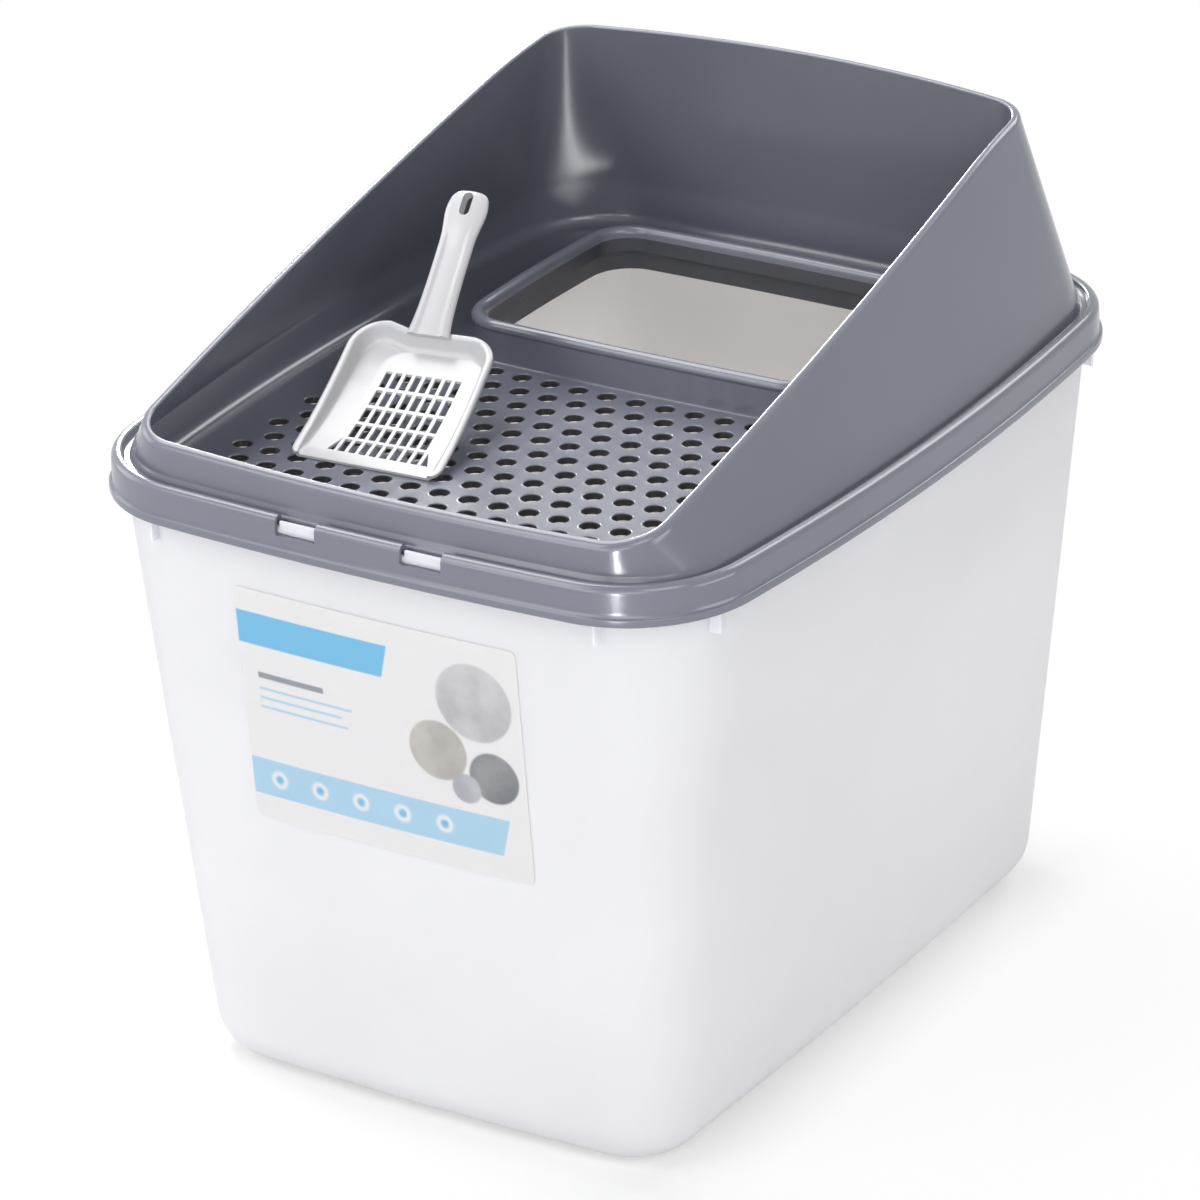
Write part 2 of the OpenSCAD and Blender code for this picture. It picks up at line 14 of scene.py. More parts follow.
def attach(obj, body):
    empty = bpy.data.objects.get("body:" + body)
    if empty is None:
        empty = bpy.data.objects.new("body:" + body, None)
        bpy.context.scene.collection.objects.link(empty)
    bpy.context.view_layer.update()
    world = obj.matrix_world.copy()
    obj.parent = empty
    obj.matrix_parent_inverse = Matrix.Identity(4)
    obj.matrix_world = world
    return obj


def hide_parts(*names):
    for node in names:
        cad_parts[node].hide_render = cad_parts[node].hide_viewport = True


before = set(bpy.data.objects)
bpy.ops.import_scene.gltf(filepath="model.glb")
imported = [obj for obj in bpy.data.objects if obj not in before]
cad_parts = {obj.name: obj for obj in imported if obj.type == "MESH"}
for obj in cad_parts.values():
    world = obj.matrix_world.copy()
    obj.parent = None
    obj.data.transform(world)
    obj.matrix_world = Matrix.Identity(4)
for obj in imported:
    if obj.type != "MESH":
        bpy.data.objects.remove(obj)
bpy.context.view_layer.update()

MM = 0.001

# ---- Driving sizes, as in the CAD part but for the lugs and the fine detail -----

TUB_HEIGHT = 381.6
BASE_LENGTH, BASE_WIDTH, BASE_RADIUS, BASE_BOW = 474.0, 331.0, 43.0, 3.0
FOOT_RADIUS = 26.0
TUB_WALL = 2.8
FLANGE_HEIGHT, FLANGE_OUT = 5.0, 4.0
RIB_DROP, RIB_WIDTH, RIB_GAP, RIB_SEAT = 10.5, 1.8, 0.4, 2.4
RIB_SIDE_ANGLE, RIB_END_ANGLE = 19.0, 77.0

RIM_LENGTH, RIM_WIDTH, RIM_RADIUS = 546.4, 438.0, 77.0
SIDE_BOW, END_BOW = 10.0, 4.0
LID_WALL = 2.6
SKIRT_DROP = 16.6
BEAD_HEIGHT, BEAD_OUT = 5.5, 1.8
SHOULDER_RADIUS = 4.5
CHANNEL_DEPTH = 4.0

HOOD_INSET, HOOD_FRONT, HOOD_BACK = 13.0, 17.0, 125.5
HOOD_WALL, EDGE_WIDTH = 3.4, 5.8
HOOD_RADIUS = 34.0
LEAN_SIDE_FRONT, LEAN_SIDE_BACK, LEAN_FRONT, LEAN_BACK = 20.0, 28.0, 2.5, 42.0
HOOD_BACK_BOW = 14.0
SLOPE_STOP = 71.0
EDGE_BLEND = 14.0
EDGE_OUTER, EDGE_INNER = 3.8, 1.2

PLATFORM_DEPTH, PLATFORM_THICKNESS = 14.6, 2.6
COVE_RADIUS = 7.6
HOLE_D, HOLE_PITCH, ROW_PITCH, ROW_BOW = 11.5, 20.1, 18.3, 7.0
HOLE_FIELD, HOLE_MARGIN, COLLAR_MARGIN = 324.0, 12.0, 13.5
# Short sleeve that hangs under every hole
HOLE_SLEEVE = 1.8

ENTRY_WIDTH, ENTRY_LENGTH, ENTRY_FRONT, ENTRY_RADIUS = 236.0, 164.0, 26.0, 22.0
ENTRY_BOW = 1.5
COLLAR_HEIGHT, BEAD_WIDTH, LIP_DROP = 26.0, 8.8, 15.0
# How far the riser of the collar stands back under its bead, and the fillet at its foot
RISER_SETBACK, RISER_FILLET = 1.6, 2.2
# Thickness of the hollow bead on the collar
BEAD_WALL = 2.2

WINDOW_SPACING, WINDOW_WIDTH, WINDOW_HEIGHT, WINDOW_CORNER = 84.0, 27.0, 11.0, 1.2
LUG_THICKNESS, LUG_MARGIN, LUG_HEIGHT, LUG_DROP = 1.9, 0.7, 3.6, 2.0
# How much narrower each side of a lug is at its top
LUG_TAPER = 0.5

LABEL_WIDTH, LABEL_HEIGHT, LABEL_Z, LABEL_THICKNESS, LABEL_RADIUS = 190.0, 150.0, 184.0, 0.3, 4.0

SCOOP_WIDTH, SCOOP_BACK_WIDTH, SCOOP_LENGTH = 97.0, 76.0, 96.0
SCOOP_CORNER = 12.5
SCOOP_RISE, SCOOP_BACK_HEIGHT, SCOOP_WALL = 31.0, 13.0, 1.6
HANDLE_LENGTH, HANDLE_WIDTH, HANDLE_THICKNESS, HANDLE_ANGLE = 96.0, 22.0, 8.0, 42.0
SCOOP_X, SCOOP_Y, SCOOP_TURN = 78.0, 152.0, 9.5

# Width of the handle: its flare at the pan, and the swell near its tip as share, place and spread
HANDLE_FLARE, TIP_SWELL, TIP_PLACE, TIP_SPREAD = 0.25, 0.2, 0.86, 0.12
# Channel along the top of the handle: depth, share of the length where it ends, half width and fade
CHANNEL_SINK, CHANNEL_END, CHANNEL_HALF, CHANNEL_FADE = 1.9, 0.78, 0.7, 0.22
HANG_SLOT_RADIUS, HANG_SLOT_HALF, HANG_SLOT_PLACE = 3.2, 4.4, 0.9

SKIRT_GAP, SEAT_GAP, REST_GAP = 0.4, 0.3, 0.3

SEAT_Z = TUB_HEIGHT + SEAT_GAP
CHANNEL_Z = SEAT_Z + LID_WALL
SHOULDER_Z = CHANNEL_Z + CHANNEL_DEPTH
SKIRT_Z = TUB_HEIGHT - SKIRT_DROP
PLATFORM_Z = TUB_HEIGHT - PLATFORM_DEPTH
PLATFORM_BOTTOM = PLATFORM_Z - PLATFORM_THICKNESS
RIM_X = RIM_WIDTH / 2 - SIDE_BOW
RIM_Y = RIM_LENGTH / 2 - END_BOW
FLANGE_INSET = LID_WALL + SKIRT_GAP
TUB_INSET = FLANGE_INSET + FLANGE_OUT
CHANNEL_OUTER = 7.5
CHANNEL_INNER = HOOD_INSET - 1
TRAY_INSET = HOOD_INSET + HOOD_WALL - 3
HOOD_INNER = HOOD_INSET + HOOD_WALL
PLATFORM_INSET = HOOD_INNER + COVE_RADIUS

TOP_X_FRONT = RIM_X - HOOD_INSET - LEAN_SIDE_FRONT
TOP_X_BACK = RIM_X - HOOD_INSET - LEAN_SIDE_BACK
TOP_Y_FRONT = HOOD_INSET + LEAN_FRONT - RIM_Y
TOP_Y_BACK = RIM_Y - HOOD_INSET - LEAN_BACK
TOP_BOWS = (SIDE_BOW / 2, END_BOW + 1, HOOD_BACK_BOW)
FRONT_TOP_Z = SHOULDER_Z + HOOD_FRONT
BACK_TOP_Z = SHOULDER_Z + HOOD_BACK
SLOPE_END_Y = RIM_Y - HOOD_INSET - SLOPE_STOP

ENTRY_BACK = ENTRY_FRONT + ENTRY_LENGTH
COLLAR_Z = PLATFORM_Z + COLLAR_HEIGHT
RISER_FACE = BEAD_WIDTH - RISER_SETBACK
RISER_FOOT = RISER_FACE + RISER_FILLET

# Points along a side, along an end and round a corner: of the big outlines, and of the entry
RIM_STEPS = (40, 30, 18)
ENTRY_STEPS = (20, 24, 16)
# Edges sharper than this stay sharp when a mesh is shaded smooth, in degrees
SHARP_ANGLE = 32


# ---- Outlines ------------------------------------------------------------------

def mix(a, b, t):
    return a + (b - a) * t


def unit(v):
    return v / np.linalg.norm(v)


def right_of(v):
    return np.array([v[1], -v[0]])


def side_point(a, b, bow, u):
    """Point and outward normal at u, from -1 to 1, along a side that bows out."""
    half = (b - a) / 2
    out = unit(right_of(half))
    point = (a + b) / 2 + half * u + out * bow * (1 - u * u)
    return point, unit(right_of(half - out * bow * 2 * u))


def bowed_loop(xf, xb, yf, yb, r, bows, steps=RIM_STEPS):
    """Rounded rectangle with bowed sides, anticlockwise from its front right corner."""
    centres = ((xf - r, yf + r), (xb - r, yb - r), (r - xb, yb - r), (r - xf, yf + r))
    c = [np.array(p) for p in centres]
    side_bow, front_bow, back_bow = bows
    b = (side_bow, back_bow, side_bow, front_bow)
    counts = (steps[0], steps[1], steps[0], steps[1])
    points = []
    for k in range(4):
        p, q, w = c[k], c[(k + 1) % 4], c[(k + 2) % 4]
        for i in range(counts[k] + 1):
            s = side_point(p, q, b[k], 2 * i / counts[k] - 1)
            points.append(s[0] + s[1] * r)
        n0 = side_point(p, q, b[k], 1)[1]
        n1 = side_point(q, w, b[(k + 1) % 4], -1)[1]
        a0 = math.atan2(n0[1], n0[0])
        turn = (math.atan2(n1[1], n1[0]) - a0) % (2 * math.pi)
        for i in range(1, steps[2]):
            a = a0 + turn * i / steps[2]
            points.append(q + r * np.array([math.cos(a), math.sin(a)]))
    return np.array(points)


def at_height(loop, z):
    return np.column_stack([loop, np.full(len(loop), z)])


def rim_loop(inset):
    return bowed_loop(RIM_X - inset, RIM_X - inset, inset - RIM_Y, RIM_Y - inset, RIM_RADIUS - inset,
                      (SIDE_BOW, END_BOW, END_BOW))


def rim_ring(inset, z):
    return at_height(rim_loop(inset), z)


def tub_ring(z, inset):
    t = z / TUB_HEIGHT
    x = mix(BASE_WIDTH / 2 - BASE_BOW, RIM_X - TUB_INSET, t) - inset
    y = mix(BASE_LENGTH / 2 - BASE_BOW, RIM_Y - TUB_INSET, t) - inset
    r = mix(BASE_RADIUS, RIM_RADIUS - TUB_INSET, t) - inset
    side, end = mix(BASE_BOW, SIDE_BOW, t), mix(BASE_BOW, END_BOW, t)
    return at_height(bowed_loop(x, x, -y, y, r, (side, end, end)), z)


def entry_ring(out, z):
    half = ENTRY_WIDTH / 2 + out
    loop = bowed_loop(half, half, ENTRY_FRONT - out, ENTRY_BACK + out, ENTRY_RADIUS + out,
                      (ENTRY_BOW, ENTRY_BOW, ENTRY_BOW), ENTRY_STEPS)
    return at_height(loop, z)


def quarter(steps):
    """Angles from 0 to a quarter turn."""
    return [math.pi / 2 * i / steps for i in range(steps + 1)]


# ---- Mesh building ----------------------------------------------------------------

def shade_smooth(mesh, angle=SHARP_ANGLE):
    mesh.polygons.foreach_set("use_smooth", [True] * len(mesh.polygons))
    mesh.set_sharp_from_angle(angle=math.radians(angle))


def finish_mesh(name, bm, angle=SHARP_ANGLE, bevel=None):
    """An object from a bmesh in millimetres, with even smooth shading."""
    bmesh.ops.recalc_face_normals(bm, faces=bm.faces)
    bmesh.ops.scale(bm, vec=(MM, MM, MM), verts=bm.verts)
    mesh = bpy.data.meshes.new(name)
    bm.to_mesh(mesh)
    bm.free()
    shade_smooth(mesh, angle)
    obj = bpy.data.objects.new(name, mesh)
    bpy.context.scene.collection.objects.link(obj)
    if bevel:
        soft = obj.modifiers.new("soft_edges", "BEVEL")
        soft.width = bevel * MM
        soft.segments = 2
        soft.limit_method = "ANGLE"
        soft.angle_limit = math.radians(40)
        soft.harden_normals = True
    even = obj.modifiers.new("even_normals", "WEIGHTED_NORMAL")
    even.keep_sharp = True
    return obj


def add_loft(bm, rings, loop=False, caps=True):
    """Adds a skin through rings; loop closes the last ring to the first."""
    rows = [[bm.verts.new(p) for p in ring] for ring in rings]
    n = len(rows[0])
    pairs = [(i, i + 1) for i in range(len(rows) - 1)]
    if loop:
        pairs.append((len(rows) - 1, 0))
    for i, j in pairs:
        for k in range(n):
            m = (k + 1) % n
            bm.faces.new((rows[i][k], rows[i][m], rows[j][m], rows[j][k]))
    if caps and not loop:
        bm.faces.new(list(reversed(rows[0])))
        bm.faces.new(rows[-1])
    return rows


def use_second_material(bm, rows):
    """Gives the faces between these rows of vertices the second material of the object."""
    chosen = {v for row in rows for v in row}
    for face in bm.faces:
        if all(v in chosen for v in face.verts):
            face.material_index = 1


def add_block(bm, corners):
    """Adds a six-sided solid from its eight corners, bottom four then top four."""
    v = [bm.verts.new(p) for p in corners]
    for face in ((3, 2, 1, 0), (4, 5, 6, 7), (0, 1, 5, 4), (1, 2, 6, 5), (2, 3, 7, 6), (3, 0, 4, 7)):
        bm.faces.new([v[i] for i in face])


def cut(obj, cutter):
    """Cuts one object out of another for good and removes the cutter."""
    others = list(obj.modifiers)
    tool = obj.modifiers.new("cut", "BOOLEAN")
    tool.operation = "DIFFERENCE"
    tool.object = cutter
    tool.solver = "EXACT"
    for modifier in others:
        modifier.show_viewport = False
    graph = bpy.context.evaluated_depsgraph_get()
    mesh = bpy.data.meshes.new_from_object(obj.evaluated_get(graph))
    obj.modifiers.remove(tool)
    for modifier in others:
        modifier.show_viewport = True
    obj.data = mesh
    bpy.data.objects.remove(cutter)
    shade_smooth(mesh)


# ---- Tub ------------------------------------------------------------------------

def foot_ring(z0, r, inset, a):
    """Ring of the rounded foot at an angle a of its fillet, from the flat base up."""
    return tub_ring(z0 + r * (1 - math.cos(a)), inset + r * (1 - math.sin(a)))


def make_tub():
    """Shell with its flange; the faces inside have a material of their own, a warmer copy of the tub
    plastic: painted warm light inside the tub.
    """
    top = TUB_HEIGHT
    rings = [foot_ring(0, FOOT_RADIUS, 0, a) for a in quarter(10)]
    rings += [tub_ring(z, 0) for z in np.linspace(FOOT_RADIUS + 12, top - FLANGE_HEIGHT - 3, 10)]
    rings += [
        tub_ring(top - FLANGE_HEIGHT, 0),
        tub_ring(top - FLANGE_HEIGHT + 0.4, 1 - FLANGE_OUT),
        tub_ring(top - FLANGE_HEIGHT + 1.4, -FLANGE_OUT),
        tub_ring(top - 1.2, -FLANGE_OUT),
        tub_ring(top - 0.35, 0.35 - FLANGE_OUT),
        tub_ring(top, 1.2 - FLANGE_OUT),
        tub_ring(top, TUB_WALL - 0.8),
        tub_ring(top - 0.8, TUB_WALL),
    ]
    inside_start = len(rings)
    inner_radius = FOOT_RADIUS - TUB_WALL
    rings += [tub_ring(z, TUB_WALL) for z in np.linspace(top - 8, FOOT_RADIUS + 12, 8)]
    rings += [foot_ring(TUB_WALL, inner_radius, TUB_WALL, a) for a in reversed(quarter(8))]
    bm = bmesh.new()
    rows = add_loft(bm, rings)
    use_second_material(bm, rows[inside_start:])
    return finish_mesh("tub_shell", bm)


def add_gusset(bm, edge, facing):
    """Thin rib under the flange: its outer edge is upright, its inner edge leans with the wall."""
    top = TUB_HEIGHT - FLANGE_HEIGHT + 1
    length = SKIRT_DROP + RIB_DROP
    depth = FLANGE_OUT - RIB_GAP + RIB_SEAT
    lean = length * (RIM_Y - TUB_INSET - BASE_LENGTH / 2 + BASE_BOW) / TUB_HEIGHT
    out = np.array([math.cos(facing), math.sin(facing), 0])
    side = np.array([-out[1], out[0], 0]) * RIB_WIDTH / 2
    corners = []
    for z, inner in ((top - length, -depth - lean), (top, -depth)):
        for s, reach in ((-1, inner), (-1, 0), (1, 0), (1, inner)):
            corners.append(np.array([edge[0], edge[1], z]) + out * reach + side * s)
    add_block(bm, corners)


def make_gussets():
    """Two gussets at every corner: one looks along X and one along Y."""
    bm = bmesh.new()
    corner = np.array([RIM_X - RIM_RADIUS, RIM_Y - RIM_RADIUS])
    r = RIM_RADIUS - FLANGE_INSET - RIB_GAP
    for sx in (-1, 1):
        for sy in (-1, 1):
            along_x = (RIB_SIDE_ANGLE, 0 if sx > 0 else math.pi)
            along_y = (RIB_END_ANGLE, sy * math.pi / 2)
            for angle, facing in (along_x, along_y):
                a = math.radians(angle)
                edge = (corner + r * np.array([math.cos(a), math.sin(a)])) * (sx, sy)
                add_gusset(bm, edge, facing)
    return finish_mesh("tub_gussets", bm, bevel=0.3)


def make_lugs():
    """Two catch lugs on the flange, whose faces show in the windows of the skirt."""
    bm = bmesh.new()
    half = WINDOW_WIDTH / 2 - LUG_MARGIN
    for s in (-1, 1):
        x = s * WINDOW_SPACING / 2
        front = RIM_Y + END_BOW * (1 - (x / (RIM_X - RIM_RADIUS)) ** 2)
        y = FLANGE_INSET + SKIRT_GAP - front
        corners = []
        for z, slim in ((TUB_HEIGHT - LUG_DROP, 0), (TUB_HEIGHT + LUG_HEIGHT, LUG_TAPER)):
            for dx, dy in ((-1, 0), (1, 0), (1, 1), (-1, 1)):
                corners.append((x + dx * (half - slim), y + dy * LUG_THICKNESS, z))
        add_block(bm, corners)
    return finish_mesh("tub_catch_lugs", bm, bevel=0.5)


# ---- Lid rim and hood --------------------------------------------------------------

def hood_top_loop(inset):
    return bowed_loop(TOP_X_FRONT - inset, TOP_X_BACK - inset, TOP_Y_FRONT + inset, TOP_Y_BACK - inset,
                      HOOD_RADIUS - inset, TOP_BOWS)


def edge_z(y):
    """Height of the top edge of the hood at a distance y from the middle."""
    y0 = TOP_Y_FRONT - TOP_BOWS[1]
    slope = mix(FRONT_TOP_Z, BACK_TOP_Z, (y - y0) / (SLOPE_END_Y - y0))
    blend = np.maximum(EDGE_BLEND - np.abs(slope - BACK_TOP_Z), 0) ** 2 / (4 * EDGE_BLEND)
    return np.minimum(slope, BACK_TOP_Z) - blend


def hood_ring(foot_inset, top_inset, t, drop):
    """Ring at a share t of the way up the hood, on a face drawn in at its foot and its top."""
    foot, top = rim_loop(foot_inset), hood_top_loop(top_inset)
    z = mix(SHOULDER_Z, edge_z(top[:, 1]) - drop, t)
    return np.column_stack([mix(foot, top, t), z])


def skirt_and_channel_rings():
    """From the foot of the skirt over its bead and the shoulder to the foot of the hood."""
    rings = [
        rim_ring(LID_WALL, SKIRT_Z),
        rim_ring(0.8 - BEAD_OUT, SKIRT_Z),
        rim_ring(0.25 - BEAD_OUT, SKIRT_Z + 0.35),
        rim_ring(-BEAD_OUT, SKIRT_Z + 1.2),
        rim_ring(-BEAD_OUT, SKIRT_Z + BEAD_HEIGHT - 1.3),
        rim_ring(0.18 - BEAD_OUT, SKIRT_Z + BEAD_HEIGHT - 0.85),
        rim_ring(0.6 - BEAD_OUT, SKIRT_Z + BEAD_HEIGHT - 0.5),
        rim_ring(0, SKIRT_Z + BEAD_HEIGHT),
        rim_ring(0.1, SKIRT_Z + BEAD_HEIGHT + 3),
    ]
    for a in quarter(6):
        rings.append(rim_ring(0.3 + SHOULDER_RADIUS * (1 - math.cos(a)),
                              SHOULDER_Z - SHOULDER_RADIUS * (1 - math.sin(a))))
    rings += [
        rim_ring(CHANNEL_OUTER - 1.5, SHOULDER_Z - 0.1),
        rim_ring(CHANNEL_OUTER - 0.9, SHOULDER_Z - 0.4),
        rim_ring(CHANNEL_OUTER - 0.5, SHOULDER_Z - 1.0),
        rim_ring(CHANNEL_OUTER, CHANNEL_Z + 0.5),
        rim_ring(CHANNEL_OUTER + 0.6, CHANNEL_Z),
        rim_ring(CHANNEL_INNER - 1.2, CHANNEL_Z),
        rim_ring(CHANNEL_INNER - 0.5, CHANNEL_Z + 0.6),
        rim_ring(CHANNEL_INNER - 0.1, SHOULDER_Z - 1.2),
    ]
    return rings


def hood_rings():
    """Up the outer face of the hood, over its rounded edge and down the inner face."""
    walls = np.linspace(0, 1, 13)[1:-1]
    rings = [hood_ring(HOOD_INSET, 0, 0, 0)]
    rings += [hood_ring(HOOD_INSET, 0, t, EDGE_OUTER) for t in walls]
    for a in quarter(6):
        rings.append(hood_ring(HOOD_INSET, EDGE_OUTER * (1 - math.cos(a)), 1,
                               EDGE_OUTER * (1 - math.sin(a))))
    for a in reversed(quarter(3)):
        rings.append(hood_ring(HOOD_INNER, EDGE_WIDTH - EDGE_INNER * (1 - math.cos(a)), 1,
                               EDGE_INNER * (1 - math.sin(a))))
    rings += [hood_ring(HOOD_INNER, EDGE_WIDTH, t, EDGE_INNER) for t in reversed(walls)]
    rings.append(hood_ring(HOOD_INNER, EDGE_WIDTH, 0, EDGE_INNER))
    return rings


def underside_rings():
    """Round the cove at the edge of the platform, then back under the channel to the skirt."""
    rings = []
    for a in quarter(7):
        rings.append(rim_ring(PLATFORM_INSET - COVE_RADIUS * math.cos(a),
                              PLATFORM_Z + COVE_RADIUS * (1 - math.sin(a))))
    lip = CHANNEL_OUTER - LID_WALL + 0.3
    rings += [
        rim_ring(PLATFORM_INSET, PLATFORM_BOTTOM),
        rim_ring(TRAY_INSET + 2, PLATFORM_BOTTOM),
        rim_ring(TRAY_INSET, PLATFORM_BOTTOM + 2),
        rim_ring(TRAY_INSET, SEAT_Z),
        rim_ring(lip, SEAT_Z),
        rim_ring(lip, SHOULDER_Z - LID_WALL),
        rim_ring(LID_WALL + 0.6, SHOULDER_Z - LID_WALL),
        rim_ring(LID_WALL, SHOULDER_Z - LID_WALL - 0.8),
    ]
    return rings


def make_rim_and_hood():
    bm = bmesh.new()
    add_loft(bm, skirt_and_channel_rings() + hood_rings() + underside_rings(), loop=True)
    hood = finish_mesh("lid_rim_and_hood", bm)
    for s in (-1, 1):
        cut(hood, window_cutter(s * WINDOW_SPACING / 2))
    return hood


def window_cutter(x):
    """Rounded block that opens one window from the face of the skirt to the channel."""
    depth = CHANNEL_OUTER - LID_WALL + 8.5
    y0 = -(RIM_Y + END_BOW + BEAD_OUT + 2)
    z0, z1 = SHOULDER_Z - WINDOW_HEIGHT, SHOULDER_Z + 3
    half, r = WINDOW_WIDTH / 2, WINDOW_CORNER
    right, left = x + half - r, x - half + r
    profile = [(x + half, z1), (x + half, z0 + r)]
    profile += [(right + r * math.cos(a), z0 + r - r * math.sin(a)) for a in quarter(4)[1:]]
    profile += [(left - r * math.sin(a), z0 + r - r * math.cos(a)) for a in quarter(4)]
    profile += [(x - half, z1)]
    bm = bmesh.new()
    add_loft(bm, [[(px, y, pz) for px, pz in profile] for y in (y0, y0 + depth)])
    return finish_mesh("window_cutter", bm)


# ---- Platform and collar -------------------------------------------------------------

def hole_places():
    """Centres of the whole holes that fit on the platform, in staggered and slightly bowed rows."""
    first_row_y = ENTRY_FRONT - RISER_FACE - COLLAR_MARGIN
    rows = math.ceil((first_row_y + RIM_Y - PLATFORM_INSET) / ROW_PITCH)
    columns = math.ceil(HOLE_FIELD / 2 / HOLE_PITCH)
    reach = RIM_RADIUS - PLATFORM_INSET - HOLE_MARGIN - HOLE_D / 2
    places = []
    for row in range(rows + 1):
        for col in range(-columns, columns + 1):
            x = HOLE_PITCH * (col + (0.5 if row % 2 == 0 else 0))
            y = first_row_y - row * ROW_PITCH + ROW_BOW * (x / (RIM_X - PLATFORM_INSET)) ** 2
            over_x = max(abs(x) - (RIM_X - RIM_RADIUS), 0)
            over_y = max(abs(y) - (RIM_Y - RIM_RADIUS), 0)
            if abs(x) < HOLE_FIELD / 2 + 0.5 and math.hypot(over_x, over_y) < reach:
                places.append((x, y))
    return places


def circle(x, y, r, z, n=28):
    turns = [2 * math.pi * k / n for k in range(n)]
    return [(x + r * math.cos(a), y + r * math.sin(a), z) for a in turns]


def add_sheet(bm, rims):
    """Fills the flat area between closed rims of vertices."""
    edges = []
    for rim in rims:
        for k, v in enumerate(rim):
            w = rim[(k + 1) % len(rim)]
            edges.append(bm.edges.get((v, w)) or bm.edges.new((v, w)))
    bmesh.ops.triangle_fill(bm, use_beauty=True, use_dissolve=False, edges=edges)


def make_platform():
    """Perforated floor of the lid; a fine bead rings every hole and a short sleeve hangs under it."""
    bm = bmesh.new()
    outer = rim_loop(PLATFORM_INSET)
    inner = entry_ring(RISER_FOOT, 0)[:, :2]
    top_rims, bottom_rims = [], []
    for loop in (outer, inner):
        rows = add_loft(bm, [at_height(loop, PLATFORM_BOTTOM), at_height(loop, PLATFORM_Z)], caps=False)
        bottom_rims.append(rows[0])
        top_rims.append(rows[1])
    r = HOLE_D / 2
    for x, y in hole_places():
        rows = add_loft(bm, [
            circle(x, y, r + 1.4, PLATFORM_BOTTOM),
            circle(x, y, r + 1.2, PLATFORM_BOTTOM - HOLE_SLEEVE),
            circle(x, y, r, PLATFORM_BOTTOM - HOLE_SLEEVE),
            circle(x, y, r, PLATFORM_Z - 0.7),
            circle(x, y, r + 0.15, PLATFORM_Z - 0.2),
            circle(x, y, r + 0.5, PLATFORM_Z + 0.12),
            circle(x, y, r + 0.9, PLATFORM_Z + 0.12),
            circle(x, y, r + 1.25, PLATFORM_Z),
        ], caps=False)
        bottom_rims.append(rows[0])
        top_rims.append(rows[-1])
    add_sheet(bm, top_rims)
    add_sheet(bm, bottom_rims)
    # The walls of the holes and their sleeves get the second material, a near-black copy of the lid
    # plastic: painted shade inside the holes
    for face in bm.faces:
        hole_wall_painted_shade = len(face.verts) == 4 and max(v.co.z for v in face.verts) < PLATFORM_Z - 0.5
        face.material_index = 1 if hole_wall_painted_shade else 0
    return finish_mesh("lid_perforated_platform", bm, angle=50)


def make_collar():
    """Raised riser round the entry with a round bead on top and a thin lip that hangs inside."""
    w = BEAD_WIDTH
    bead_z = COLLAR_Z - w / 2
    under = w / 2 - BEAD_WALL
    rings = [
        entry_ring(RISER_FOOT, PLATFORM_BOTTOM),
        entry_ring(RISER_FOOT, PLATFORM_Z),
        entry_ring(RISER_FACE + 1.3, PLATFORM_Z + 0.2),
        entry_ring(RISER_FACE + 0.5, PLATFORM_Z + 0.8),
        entry_ring(RISER_FACE, PLATFORM_Z + 2.2),
        entry_ring(RISER_FACE, bead_z - w / 4),
    ]
    for i in range(15):
        a = math.pi * i / 14
        rings.append(entry_ring(w / 2 + w / 2 * math.cos(a), bead_z + w / 2 * math.sin(a)))
    lip_start = len(rings)
    rings += [
        entry_ring(-0.05, bead_z - 2.0),
        entry_ring(-0.9, COLLAR_Z - LIP_DROP + 0.4),
        entry_ring(-0.5, COLLAR_Z - LIP_DROP),
        entry_ring(0.9, COLLAR_Z - LIP_DROP),
        entry_ring(1.2, COLLAR_Z - LIP_DROP + 0.4),
    ]
    for i in range(7):
        a = math.pi * (1 - i / 6)
        rings.append(entry_ring(w / 2 + under * math.cos(a), bead_z + under * math.sin(a)))
    rings += [
        entry_ring(RISER_FACE - LID_WALL, bead_z - w / 4),
        entry_ring(RISER_FACE - LID_WALL, PLATFORM_BOTTOM),
    ]
    bm = bmesh.new()
    rows = add_loft(bm, rings, loop=True)
    # The lip's faces take the second material, a darker copy of the lid plastic: painted shade in the
    # recess under the bead
    use_second_material(bm, rows[lip_start:])
    return finish_mesh("lid_entry_collar_bead", bm)


# ---- Label -------------------------------------------------------------------------

LABEL_COLUMNS = 40


def front_y(x, z):
    """Distance of the front wall of the tub from the middle, at x and z."""
    t = z / TUB_HEIGHT
    cx = mix(BASE_WIDTH / 2 - BASE_BOW - BASE_RADIUS, RIM_X - RIM_RADIUS, t)
    y = mix(BASE_LENGTH / 2 - BASE_BOW, RIM_Y - TUB_INSET, t)
    return y + mix(BASE_BOW, END_BOW, t) * (1 - (x / cx) ** 2)


def label_rows():
    """Heights up the label, each with how far its rounded corners draw the sides in there."""
    r = LABEL_RADIUS
    corner = [(r * (1 - math.cos(a)), r * (1 - math.sin(a))) for a in quarter(4)]
    middle = [(z, 0) for z in np.linspace(r, LABEL_HEIGHT - r, 12)[1:-1]]
    return corner + middle + [(LABEL_HEIGHT - z, inset) for z, inset in reversed(corner)]


